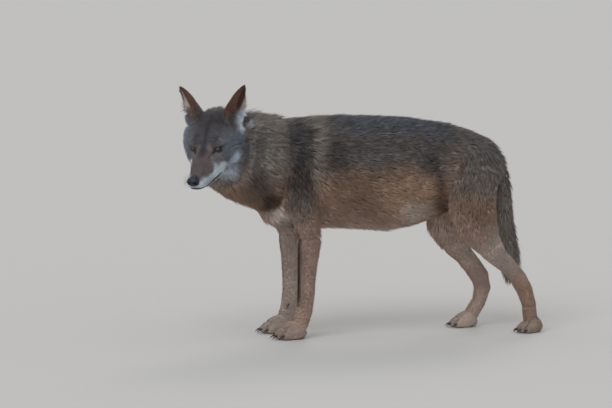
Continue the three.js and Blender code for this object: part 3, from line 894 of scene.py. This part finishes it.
def tube(path, radius, sides=8, closed=False):
    """Points and faces of a cord along a path; an open cord's ends are closed with flat caps."""
    path = np.asarray(path)
    ahead_way = np.roll(path, -1, 0) - np.roll(path, 1, 0) if closed else np.gradient(path, axis=0)
    ahead_way /= np.linalg.norm(ahead_way, axis=1)[:, None]
    side_way = np.cross(ahead_way, [0.02, 0.01, 1])
    side_way /= np.linalg.norm(side_way, axis=1)[:, None]
    up_way = np.cross(side_way, ahead_way)
    radius = np.broadcast_to(radius, len(path))[:, None, None]
    angles = np.arange(sides) * 2 * np.pi / sides
    cos, sin = np.cos(angles)[None, :, None], np.sin(angles)[None, :, None]
    circle = cos * side_way[:, None] + sin * up_way[:, None]
    points = (path[:, None] + radius * circle).reshape(-1, 3)
    grid = np.arange(len(path) * sides).reshape(len(path), sides)
    rows = (grid, np.roll(grid, -1, 0)) if closed else (grid[:-1], grid[1:])
    quads = np.stack([rows[0], np.roll(rows[0], -1, 1), np.roll(rows[1], -1, 1), rows[1]], -1).reshape(-1, 4)
    if closed:
        return points, [quads[:, ::-1]]
    return points, [quads[:, ::-1], grid[0][None], grid[-1][::-1][None]]


bare_skin, tree, shader = principled("bare black skin", 0.38, Specular_IOR_Level=0.5)
shader.inputs["Base Color"].default_value = (*tone(0x1a1614), 1)
pores = texture(tree, "ShaderNodeTexNoise", Scale=1600.0, Detail=2.0)
emboss(tree, shader, pores.outputs["Fac"], Distance=0.0003, Strength=0.6)

for name, side in (("left", 1), ("right", -1)):
    out, along, upper = eye_axes(side)
    turns = np.arange(80) * 2 * np.pi / 80
    reach = -np.cos(turns) * LID_LENGTH
    inner = np.clip(np.cos(turns), 0, 1) ** 10
    height = np.sign(np.sin(turns)) * np.abs(np.sin(turns)) ** 1.5
    height = height * np.where(height > 0, LID_RISE, LID_DROP)
    lift = np.sqrt(np.maximum(RIM_RADIUS ** 2 - reach ** 2 - height ** 2, 4))
    outer = np.clip(-np.cos(turns), 0, 1) ** 8
    reach = reach + (outer * OUTER_REACH - inner * TEAR_REACH) * LID_LENGTH
    local = reach[:, None] * along + height[:, None] * upper + lift[:, None] * out + EYE_AT * [1, side, 1]
    path = HEAD_AT + HEAD_UNIT * local @ HEAD_AXES
    points, faces = tube(path, RIM_HALF * (1 - 0.35 * inner), closed=True)
    rim = mesh_object("eye_rim_" + name, points, *faces)
    rim.data.materials.append(bare_skin)
    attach(rim, "root")


# ---- Nose ----
# A broad black pad of pebbled leather, with comma-shaped nostrils that open to the sides and a
# groove down its middle to the lip. The pebbles' tops carry a painted blue reflection of the sky.
NOSE_VOXEL = 0.0007
NOSTRIL_AT = np.array([159, 9.6, -45])
NOSTRIL_RADII = np.array([9, 5.0, 4.2])
WING_AT = np.array([152, 17.5, -49])
WING_RADII = np.array([9, 7.5, 1.5])
NOSTRIL_FILLET = 0.0012
GROOVE_TOP = -44
GROOVE_HALF = 0.7
GROOVE_DEPTH = 1.5

nose_field, nose_first = distance_field(["nose"], NOSE_VOXEL, 0.006, seam=0)
nose_field = blur(nose_field, 7, 2)
nose_places = cells_in_head(nose_field, nose_first, NOSE_VOXEL)


def dent(centre, radii):
    off = np.sqrt(sum(((nose_places[k] - centre[k]) / radii[k]) ** 2 for k in range(3)))
    return (off - 1) * min(radii) * HEAD_UNIT


for side in (1, -1):
    for centre, radii in ((NOSTRIL_AT, NOSTRIL_RADII), (WING_AT, WING_RADII)):
        nose_field = -smooth_join(-nose_field, dent(centre * [1, side, 1], radii), NOSTRIL_FILLET)
groove = np.maximum(np.abs(nose_places[1]) - GROOVE_HALF, nose_places[2] - GROOVE_TOP) * HEAD_UNIT
groove = np.maximum(groove, -nose_field - GROOVE_DEPTH * HEAD_UNIT)
nose_field = np.maximum(nose_field, -groove)
nose = mesh_object("nose_pad", *as_mesh(blur(nose_field, 3, 1), nose_first, NOSE_VOXEL))


def between_tones(tree, shader, part, first, last):
    """A colour that runs from the first tone to the last as the pattern rises."""
    hue = add_node(tree, "ShaderNodeValToRGB")
    hue.color_ramp.elements[0].color = (*tone(first), 1)
    hue.color_ramp.elements[1].color = (*tone(last), 1)
    tree.links.new(part, hue.inputs["Fac"])
    tree.links.new(hue.outputs["Color"], shader.inputs["Base Color"])


leather, tree, shader = principled("nose leather", 0.36, Specular_IOR_Level=0.5)
pebbles = texture(tree, "ShaderNodeTexVoronoi", Scale=620.0)
# Painted reflection: the pebbles' tops are blue as if lit by the sky, their edges near black.
between_tones(tree, shader, pebbles.outputs["Distance"], 0x142238, 0x0c1118)
emboss(tree, shader, pebbles.outputs["Distance"], Distance=0.0004, Strength=0.7, invert=True)
nose.data.materials.append(leather)
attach(nose, "root")
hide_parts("nose")


# ---- Lips ----
# The black edge of the lips: one cord in the mouth's slit, from one corner round the front below
# the nose to the other corner.
LIP_HALF = 0.0027
LIP_STAND = 0.0024
LIP_FRONT = 112
FRONT_REACH = 24
skin_tree = BVHTree.FromPolygons(skin_points.tolist(), skin_triangles.tolist() + skin_quads.tolist())


def skin_hit(start, way):
    start, way = Vector(start.tolist()), Vector(way.tolist()).normalized()
    found = skin_tree.ray_cast(start, way, 0.2)
    return np.array(found[0]) if found[0] is not None else None


# Places along the middle of the mouth, and the turn at which each looks for the lip's outside.
rays = [(x, 90) for x in np.linspace(MOUTH_CORNER_X + 1, LIP_FRONT, 26)]
rays += [(LIP_FRONT, turn) for turn in np.linspace(84, 0, 15)]
rays += [(x, -turn) for x, turn in reversed(rays[:-1])]
lip_path = []
for x, turn in rays:
    out = np.array([math.cos(math.radians(turn)), math.sin(math.radians(turn)), 0])
    reach_x = x + FRONT_REACH * out[0] if x >= LIP_FRONT else x
    start = head(x, 0, mouth_height(reach_x))
    hit = skin_hit(start, out @ HEAD_AXES)
    if hit is not None:
        lip_path.append(hit + LIP_STAND * out @ HEAD_AXES)
lip_path = np.array(lip_path)
for _ in range(2):
    lip_path[1:-1] = (lip_path[:-2] + 2 * lip_path[1:-1] + lip_path[2:]) / 4
taper = smooth(np.minimum(np.arange(len(lip_path)), np.arange(len(lip_path))[::-1]), -2, 2)
points, faces = tube(lip_path, LIP_HALF * taper)
lips = mesh_object("lips", points, *faces)
lips.data.materials.append(bare_skin)
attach(lips, "root")


# ---- Claws ----
# Blunt dark horn, four to a foot and a dewclaw inside each foreleg. Each foot's claws are one
# piece, made from the frame's plain cones with their edges rounded.
CLAW_ROUNDING = 2
horn, tree, shader = principled("claw horn", 0.42)
layers = texture(tree, "ShaderNodeTexNoise", Scale=500.0, Detail=2.0)
between_tones(tree, shader, layers.outputs["Fac"], 0x1d1917, 0x4a3f37)

claw_groups = {}
for name in nodes:
    if "claw" in name:
        foot = name.replace("dewclaw", "claw_fore")
        claw_groups.setdefault("_".join(foot.split("_")[:3]), []).append(name)
for foot, names in claw_groups.items():
    shape = bmesh.new()
    for name in names:
        shape.from_mesh(nodes[name].data)
    bmesh.ops.remove_doubles(shape, verts=shape.verts, dist=1e-5)
    bmesh.ops.recalc_face_normals(shape, faces=shape.faces)
    mesh = bpy.data.meshes.new(foot)
    shape.to_mesh(mesh)
    shape.free()
    claws = put_in_scene(foot, mesh)
    rounder = claws.modifiers.new("rounder", "SUBSURF")
    rounder.levels = rounder.render_levels = CLAW_ROUNDING
    graph = bpy.context.evaluated_depsgraph_get()
    claws.data = bpy.data.meshes.new_from_object(claws.evaluated_get(graph))
    claws.modifiers.clear()
    claws.data.shade_smooth()
    claws.data.materials.append(horn)
    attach(claws, "root")
    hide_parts(*names)


# ---- Coat ----
# Winter fur in tufts: each is a thin three-sided blade that leaves the skin steeply, bends over and
# lies along the body, and ends in a point near the outline. Tufts gather into loose clumps. Their
# colours come from the markings: roots darkened as painted shade, a paler band, and dark or pale tips.
BLADE_STEPS = {"long": np.array([0.0, 0.42, 1.0]), "short": np.array([0.0, 1.0])}
BLADE_WIDTHS = {"long": np.array([0.8, 0.92]), "short": np.array([1.0])}
BLADE_TRIANGLES = {"long": 10, "short": 4}
BLADE_RIDGE = 0.62
LOWEST_HAIR = 0.0003
LONG_FROM = 0.0145
ROOT_DEPTH = 0.0012
LEAST_STAND = 0.0008
REACH_OUT = 1.8
DOWN = np.array([0, 0, -1.0])
HANG = 0.30
BELLY_HANG = 0.35
EYE_PARTING = 1.6
SWIRL = 0.16
EAR_ROOT_LENGTH = 0.016
CLUMP_SPACING = 4.2
SLIT_STRETCH = 1.12
SLIT_MARGIN = 1.6
DENSITY = 1.13
WIDE_APART = 0.0034
TRIES = 5.0
CELL_WIDTH = 1.12
PATCH = 0.003
PIECE_TRIANGLES = 190000

skin_at, skin_faces = mesh_arrays(skin.data)
corners = skin_at.astype(float)[skin_faces]
face_ways = np.cross(corners[:, 1] - corners[:, 0], corners[:, 2] - corners[:, 0])
face_areas = np.linalg.norm(face_ways, axis=1) / 2
skin_normals = read(skin.data.vertices, "normal", 3).astype(float)
unwrap = read(skin.data.uv_layers[0].data, "uv", 2)
face_unwrap = unwrap[read(skin.data.loop_triangles, "loops", 3, np.int32)]


def one_in_each_cell(points, size, sizes_per_fold, widen=1.0):
    """Which points stay when a grid, about as wide as size at each point, keeps one in a cell."""
    step = np.round(np.log(size / 0.001) * sizes_per_fold)
    width = 0.001 * np.exp(step / sizes_per_fold) * widen
    keys = np.floor(points / width[:, None]).astype(np.int64)
    code = ((keys[:, 0] * 7919 + keys[:, 1]) * 7907 + keys[:, 2]) * 101 + step.astype(np.int64)
    return np.unique(code, return_index=True)[1]


# Roots: many random places on the skin, of which one stays in each cell of a grid, and the cells
# are as large as the tufts stand apart there.
face_spacing = lie_at(corners.mean(1))[3]
face_spacing = np.where(face_spacing > WIDE_APART, face_spacing / DENSITY, face_spacing)
tries = face_areas / face_spacing ** 2 * TRIES
tries_count = np.floor(tries + rng.random(len(tries))).astype(int)
chosen = np.repeat(np.arange(len(tries_count)), tries_count)
chosen = chosen[rng.permutation(len(chosen))]
mix_a, mix_b = rng.random(len(chosen)), rng.random(len(chosen))
flip = mix_a + mix_b > 1
mix_a[flip], mix_b[flip] = 1 - mix_a[flip], 1 - mix_b[flip]
weights = np.stack([1 - mix_a - mix_b, mix_a, mix_b], 1)
roots = (corners[chosen] * weights[:, :, None]).sum(1)
kept = np.sort(one_in_each_cell(roots, face_spacing[chosen], 8, CELL_WIDTH))
roots, weights, chosen = roots[kept], weights[kept], chosen[kept]
normals = (skin_normals[skin_faces[chosen]] * weights[:, :, None]).sum(1)
normals /= np.linalg.norm(normals, axis=1)[:, None]
root_unwrap = (face_unwrap[chosen] * weights[:, :, None]).sum(1)

# No hair grows on the balls' side of the lids, in the mouth, under the nose pad or on the soles.
NOSE_FROM, NOSE_BOTTOM = 130, -62
SOLES_BELOW = 6
face = in_head(roots)
at = in_body(roots)
bare = np.zeros(len(roots), bool)
for side in (1, -1):
    out, along, upper = eye_axes(side)
    off = face - EYE_AT * [1, side, 1]
    reach, height = off @ along, off @ upper
    arch = np.clip(1 - (reach / (LID_LENGTH * SLIT_STRETCH)) ** 2, 0, 1) ** LID_ROUNDNESS
    in_slit = (height < (LID_RISE + SLIT_MARGIN) * arch) & (height > -(LID_DROP + SLIT_MARGIN) * arch)
    bare |= in_slit & (off @ out > 0) & (np.linalg.norm(off, axis=1) < 2 * BALL_RADIUS)
    bare |= np.linalg.norm(off, axis=1) < BALL_RADIUS + 1.2
in_mouth = np.abs(face[:, 2] - mouth_height(face[:, 0])) < MOUTH_HALF + 0.6
in_mouth &= face[:, 0] > MOUTH_CORNER_X - 2
bare |= in_mouth & (np.abs(face[:, 1]) < 60) & (face[:, 2] < -60)
bare |= (face[:, 0] > NOSE_FROM) & (face[:, 2] > NOSE_BOTTOM)
bare |= (at[:, 2] < SOLES_BELOW) & (normals[:, 2] < -0.5)
roots, normals, root_unwrap = roots[~bare], normals[~bare], root_unwrap[~bare]

ways, depths, lengths, spacings = lie_at(roots)
face, at = in_head(roots), in_body(roots)

# Hair hangs a little on the flanks and the belly, fans out on the cheeks, and parts on the chest.
hang = smooth(depths, 0.012, 0.02) * smooth(-np.abs(normals[:, 2]), -0.95, -0.2)
ways = ways + HANG * hang[:, None] * DOWN
belly = smooth(-at[:, 2], -470, -400) * smooth(at[:, 0], -420, -340) * smooth(-at[:, 0], -200, -120)
ways = ways + BELLY_HANG * belly[:, None] * DOWN
# It parts round the eyes, and a fringe stands off the outer edge of each ear.
eye_off = face - EYE_AT * np.stack([np.ones(len(face)), np.sign(face[:, 1]), np.ones(len(face))], 1)
eye_far = np.linalg.norm(eye_off, axis=1)
near_eye = np.exp(-(np.clip(eye_far - 14, 0, 60) / 7) ** 2)
ways = ways + EYE_PARTING * near_eye[:, None] * (eye_off / eye_far[:, None]) @ HEAD_AXES
lengths = lengths * (1 - 0.45 * near_eye)
by_ear = np.zeros(len(roots))
for root, tip, *_ in EARS.values():
    off = np.linalg.norm(from_line(face, root, tip)[1], axis=1)
    by_ear = np.maximum(by_ear, 1 - smooth(off, 42, 72))
lengths = lengths + (np.minimum(lengths, EAR_ROOT_LENGTH) - lengths) * by_ear
fringe = np.zeros(len(roots))
for on_ear, along, outward, edge in ear_places(face):
    at_edge = on_ear * smooth(outward, edge[0] + 1, edge[1] + 2)
    fringe = np.maximum(fringe, at_edge * (1 - smooth(along, 0.7, 0.95)))
lengths = lengths * (1 + 0.35 * fringe)
swirl = np.stack([ripple(roots, 0.11, 20 + k) for k in range(3)], 1)
ways = ways + SWIRL * smooth(lengths, 0.012, 0.04)[:, None] * swirl
ways -= (ways * normals).sum(1)[:, None] * normals
ways /= np.maximum(np.linalg.norm(ways, axis=1), 1e-9)[:, None]

# How far the outline stands off the skin: the tips end just inside it.
cad_points, cad_faces = joined_arrays(FLESH)
outline = BVHTree.FromPolygons(cad_points.tolist(), cad_faces.tolist())
room = np.array([outline.find_nearest(Vector(root))[3] for root in roots.tolist()])

on_head = (face @ HEAD_JOIN_WAY > -142) & (face[:, 2] > -150) & (face[:, 0] > -185)
toes, low_down = between_toes(at[:, 0], at[:, 1]), smooth(-at[:, 2], -50, -40)
room = np.maximum(room - 0.9 * CLEFT_DEPTH * toes * low_down, LEAST_STAND)
lengths = lengths * (1 - 0.3 * toes * low_down)
lengths = np.clip(REACH_OUT * room, lengths, 1.5 * lengths)

# Clumps: a sparse set of the roots, to which their neighbours lean.
clump_cell = spacings * CLUMP_SPACING
centres = one_in_each_cell(roots, clump_cell, 4)
nearest = KDTree(len(centres))
for index, place in enumerate(roots[centres].tolist()):
    nearest.insert(place, index)
nearest.balance()
count = len(roots)
clump = np.array([nearest.find(place)[1] for place in roots.tolist()])
lean = roots[centres][clump] - roots
lean -= (lean * normals).sum(1)[:, None] * normals
alike = (normals[centres][clump] * normals).sum(1) > 0.7
lean *= (alike & (np.linalg.norm(lean, axis=1) < 1.3 * clump_cell))[:, None]
sideways = np.cross(normals, ways)
clump_turn, clump_tone, clump_length, clump_lift = [
    rng.normal(usual, spread, len(centres))[clump]
    for usual, spread in ((0, 0.09), (0, 0.05), (1, 0.09), (0, 0.05))
]

turn = clump_turn + rng.normal(0, 0.08, count)
ways = ways * np.cos(turn)[:, None] + sideways * np.sin(turn)[:, None]
sideways = np.cross(normals, ways)
lengths = lengths * clump_length * rng.uniform(0.78, 1.16, count)
hanging = smooth(-at[:, 2], -470, -400) * smooth(at[:, 0], -420, -300) * smooth(-at[:, 0], -60, 60)
fill = 0.91 + 0.05 * on_head + 0.30 * hanging + clump_lift + rng.normal(0, 0.09, count)
fill = np.clip(fill, 0.45, 1.04 + 0.4 * hanging)
sink = np.minimum(ROOT_DEPTH, 0.1 * lengths)
least_stand = LEAST_STAND + 0.003 * fringe + 0.0026 * by_ear * (face[:, 2] < 112)
stand = np.maximum(room * fill, least_stand) + sink
on_an_ear = np.max([on_ear for on_ear, *_ in ear_places(face)], axis=0)
rise = np.arcsin(np.clip(stand / lengths, 0.03, 0.62 - 0.34 * on_an_ear))
widths = spacings * rng.uniform(0.50, 0.80, count) * (1 + 0.30 * (lengths < LONG_FROM))
pull = rng.uniform(0.18, 0.50, count)

base = markings(roots + 0.55 * lengths[:, None] * ways + 0.5 * np.minimum(room, 0.03)[:, None] * normals)
grizzled = smooth(at[:, 2], 470, 620) * smooth(depths, 0.008, 0.016)
ticked = rng.random(count)
snowy = smooth(base.min(1), 0.45, 0.7)
dark_tip = ticked < (0.22 + 0.33 * grizzled) * (1 - snowy)
pale_tip = ticked > 0.80 - 0.10 * grizzled
plain = 1 - smooth(lengths, 0.010, 0.030)
shade = np.clip(1 + (clump_tone + rng.normal(0, 0.07, count)) * (1 - 0.5 * plain), 0.6, 1.4)


def blades(which, kind):
    """Points, triangles, colours and patch places of the blades that grow at some of the roots."""
    steps, width_steps = BLADE_STEPS[kind], BLADE_WIDTHS[kind]
    number, rings = len(which), len(width_steps)
    root, up, way, side = roots[which], normals[which], ways[which], sideways[which]
    length, wide = lengths[which], widths[which]
    place = root - up * sink[which][:, None]
    spine = [place]
    for k in range(rings):
        middle = (steps[k] + steps[k + 1]) / 2
        tilt = rise[which] * (1.75 - 1.5 * middle)
        heading = way * np.cos(tilt)[:, None] + up * np.sin(tilt)[:, None]
        place = place + heading * (length * (steps[k + 1] - steps[k]))[:, None]
        spine.append(place)
    spine = [
        point + (lean[which] * pull[which][:, None]) * step ** 1.4
        for point, step in zip(spine, steps)
    ]
    # Three points to a ring, the middle one on the blade's ridge, and one point at the tip.
    points = np.empty((number, rings * 3 + 1, 3))
    for k in range(rings):
        half = (wide * width_steps[k] / 2)[:, None]
        points[:, 3 * k] = spine[k] - side * half
        points[:, 3 * k + 1] = spine[k] + up * half * BLADE_RIDGE
        points[:, 3 * k + 2] = spine[k] + side * half
    points[:, -1] = spine[-1]
    points[:, :, 2] = np.maximum(points[:, :, 2], LOWEST_HAIR)
    faces = [(0, 1, 2)]
    for k in range(rings - 1):
        for j in range(3):
            a, b = 3 * k + j, 3 * k + (j + 1) % 3
            faces += [(a, a + 3, b), (b, a + 3, b + 3)]
    last = 3 * (rings - 1)
    faces += [(last + j, rings * 3, last + (j + 1) % 3) for j in range(3)]
    faces = np.array(faces)
    triangles = (np.arange(number)[:, None, None] * (rings * 3 + 1) + faces).reshape(-1, 3)

    hue = base[which] * shade[which][:, None]
    tip = np.where(dark_tip[which][:, None], hue * (0.66 - 0.25 * grizzled[which])[:, None], hue)
    tip = np.where(pale_tip[which][:, None], hue * 1.12 + 0.05 * tone(0xd8cbb8), tip)
    tip = tip + (hue - tip) * 0.6 * plain[which][:, None]
    # Painted shade: roots darken where the coat is deep, less where it is shallow or white.
    painted_root_shade = 0.62 + 0.38 * np.maximum(smooth(-depths[which], -0.012, -0.003), 0.7 * snowy[which])
    ring_hues = [hue * painted_root_shade[:, None], tip * 0.2 + hue * 0.85][:rings]
    colours = np.concatenate([np.repeat(h[:, None], 3, 1) for h in ring_hues] + [tip[:, None]], 1)

    spot = root_unwrap[which]
    across = np.tile([-0.5, 0.0, 0.5], rings).tolist() + [0.0]
    along = (np.repeat(steps[:-1] - 0.5, 3) + np.tile([0, 0.12, 0], rings)).tolist() + [0.5]
    patch = spot[:, None] + PATCH * np.stack([across, along], 1)[None]
    return points.reshape(-1, 3), triangles, colours.reshape(-1, 3), patch.reshape(-1, 2)


coat_material = hair_material("coat hair", 1400, 0)
MUZZLE_FROM = 22
LEGS_BELOW = 375
TAIL_FROM, TAIL_HALF = 300, 55
on_muzzle = on_head & (face[:, 0] > MUZZLE_FROM)
on_tail = (at[:, 0] >= TAIL_FROM) & (np.abs(at[:, 1]) <= TAIL_HALF)
is_long = lengths > LONG_FROM
zones = {
    "muzzle": on_muzzle,
    "head": on_head & ~on_muzzle,
    "legs": (at[:, 2] < LEGS_BELOW) & ~on_head & ~on_tail,
}
zones["body"] = ~on_head & ~zones["legs"]
for zone, inside in zones.items():
    for kind, fits in (("long", is_long), ("short", ~is_long)):
        which = np.flatnonzero(inside & fits)
        if not len(which):
            continue
        parts = math.ceil(len(which) * BLADE_TRIANGLES[kind] / PIECE_TRIANGLES)
        which = which[np.argsort(at[which, 0], kind="stable")]
        for number, share in enumerate(np.array_split(which, parts)):
            points, triangles, colours, patch = blades(np.sort(share), kind)
            tufts = mesh_object(f"coat_{zone}_{kind}_{number + 1}", points, triangles)
            set_colours(tufts, colours)
            layer = tufts.data.uv_layers.new(name="OFBake")
            layer.data.foreach_set("uv", patch[triangles.ravel()].astype(np.float32).ravel())
            tufts.data.materials.append(coat_material)
            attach(tufts, "root")


# ---- Whiskers ----
# Stiff dark bristles in four rows on each side of the upper lip, with a few over each eye. They
# sweep back and sag, and thin out to nothing. Geometry Nodes draw a round wire on their paths.
WHISKER_ROWS = 4
WHISKERS_IN_ROW = 6
WHISKER_STEPS = 9
WHISKER_ROOT = 0.00032
WHISKER_SIDES = 5

whisker_starts = []
for side in (1, -1):
    for row in range(WHISKER_ROWS):
        for place in range(WHISKERS_IN_ROW):
            start = (124 - 10 * place - 3 * row, 0, -58 - 5 * row)
            length = 26 + 5.5 * place + rng.uniform(-3, 3)
            sweep = (-0.25 - 0.09 * place, side, -0.30 - 0.08 * row)
            whisker_starts.append((start, (0, side, 0), sweep, length))
    for place in range(3):
        start = (-4 - 7 * place, side * 34, 6)
        whisker_starts.append((start, (0.35, 0, 1), (-0.5, 0.4 * side, 0.8), 24 + 3 * place))

whisker_points, whisker_edges, thickness = [], [], []
for start, way_out, sweep, length in whisker_starts:
    hit = skin_hit(head(*start), np.array(way_out) @ HEAD_AXES)
    if hit is None:
        continue
    sweep = (np.array(sweep) / np.linalg.norm(sweep) + rng.normal(0, 0.06, 3)) @ HEAD_AXES
    steps = np.linspace(0, 1, WHISKER_STEPS)[:, None]
    sag = np.array([0, 0, -0.20]) - 0.22 * HEAD_AXES[0]
    path = hit + length / 1000 * (steps * sweep + steps ** 2 * sag) - 0.001 * sweep
    first = len(whisker_points)
    whisker_points += path.tolist()
    whisker_edges += [(first + step, first + step + 1) for step in range(WHISKER_STEPS - 1)]
    thickness += (1 - 0.85 * steps[:, 0]).tolist()

mesh = bpy.data.meshes.new("whiskers")
mesh.from_pydata(whisker_points, whisker_edges, [])
mesh.attributes.new("thickness", "FLOAT", "POINT").data.foreach_set("value", thickness)
whiskers = put_in_scene("whiskers", mesh)
bristle, tree, shader = principled("whisker", 0.45)
shader.inputs["Base Color"].default_value = (*tone(0x2b2624), 1)

tree = bpy.data.node_groups.new("wire on paths", "GeometryNodeTree")
tree.interface.new_socket("Geometry", in_out="INPUT", socket_type="NodeSocketGeometry")
root_socket = tree.interface.new_socket("Root radius", in_out="INPUT", socket_type="NodeSocketFloat")
sides_socket = tree.interface.new_socket("Sides", in_out="INPUT", socket_type="NodeSocketInt")
tree.interface.new_socket("Geometry", in_out="OUTPUT", socket_type="NodeSocketGeometry")
given = add_node(tree, "NodeGroupInput")
result = add_node(tree, "NodeGroupOutput")
paths = add_node(tree, "GeometryNodeMeshToCurve")
taper = add_node(tree, "GeometryNodeInputNamedAttribute", data_type="FLOAT", Name="thickness")
round_section = add_node(tree, "GeometryNodeCurvePrimitiveCircle")
wire = add_node(tree, "GeometryNodeCurveToMesh")
wire.inputs["Fill Caps"].default_value = True
real = add_node(tree, "GeometryNodeRealizeInstances")
covered = add_node(tree, "GeometryNodeSetMaterial", Material=bristle)
for giver, output, taker, socket in (
    (given, "Geometry", paths, "Mesh"),
    (given, "Root radius", round_section, "Radius"),
    (given, "Sides", round_section, "Resolution"),
    (paths, "Curve", wire, "Curve"),
    (round_section, "Curve", wire, "Profile Curve"),
    (taper, "Attribute", wire, "Scale"),
    (wire, "Mesh", real, "Geometry"),
    (real, "Geometry", covered, "Geometry"),
    (covered, "Geometry", result, "Geometry"),
):
    tree.links.new(giver.outputs[output], taker.inputs[socket])
modifier = whiskers.modifiers.new("wire", "NODES")
modifier.node_group = tree
modifier[root_socket.identifier] = WHISKER_ROOT
modifier[sides_socket.identifier] = WHISKER_SIDES
graph = bpy.context.evaluated_depsgraph_get()
whiskers.data = bpy.data.meshes.new_from_object(whiskers.evaluated_get(graph))
whiskers.modifiers.clear()
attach(whiskers, "root")


# ---- Floor and light ----
# A pale studio floor without an edge: the sky has the floor's own brightness. A broad soft light
# comes from the front left and a weaker warm one edges the back.
FLOOR_HALF = 60
FLOOR_GREY = 0.60
SKY_LIGHT = 0.56
KEY_LIGHT = 0.95
BACK_LIGHT = 0.55

floor_corners = FLOOR_HALF * np.array([(-1, -1, 0), (1, -1, 0), (1, 1, 0), (-1, 1, 0)])
floor = mesh_object("floor", floor_corners, np.array([[0, 1, 2, 3]]))
ground, tree, shader = principled("pale floor", 0.95, Specular_IOR_Level=0.0)
shader.inputs["Base Color"].default_value = (FLOOR_GREY, FLOOR_GREY, FLOOR_GREY, 1)
floor.data.materials.append(ground)


def soft_sun(name, toward, strength, spread, colour=(1, 1, 1)):
    light = bpy.data.lights.new(name, "SUN")
    light.energy = strength
    light.angle = math.radians(spread)
    light.color = colour
    put_in_scene(name, light).rotation_euler = Vector(toward).to_track_quat("Z", "Y").to_euler()


soft_sun("key", (-0.55, -0.75, 0.95), KEY_LIGHT, 40)
soft_sun("back light", (0.35, 0.9, 0.75), BACK_LIGHT, 25, (1, 0.92, 0.82))

world = bpy.data.worlds.new("studio")
bpy.context.scene.world = world
world.use_nodes = True
backdrop = world.node_tree.nodes["Background"]
backdrop.inputs["Color"].default_value = (1, 1, 1, 1)
backdrop.inputs["Strength"].default_value = SKY_LIGHT
bpy.context.scene.view_settings.view_transform = "Standard"
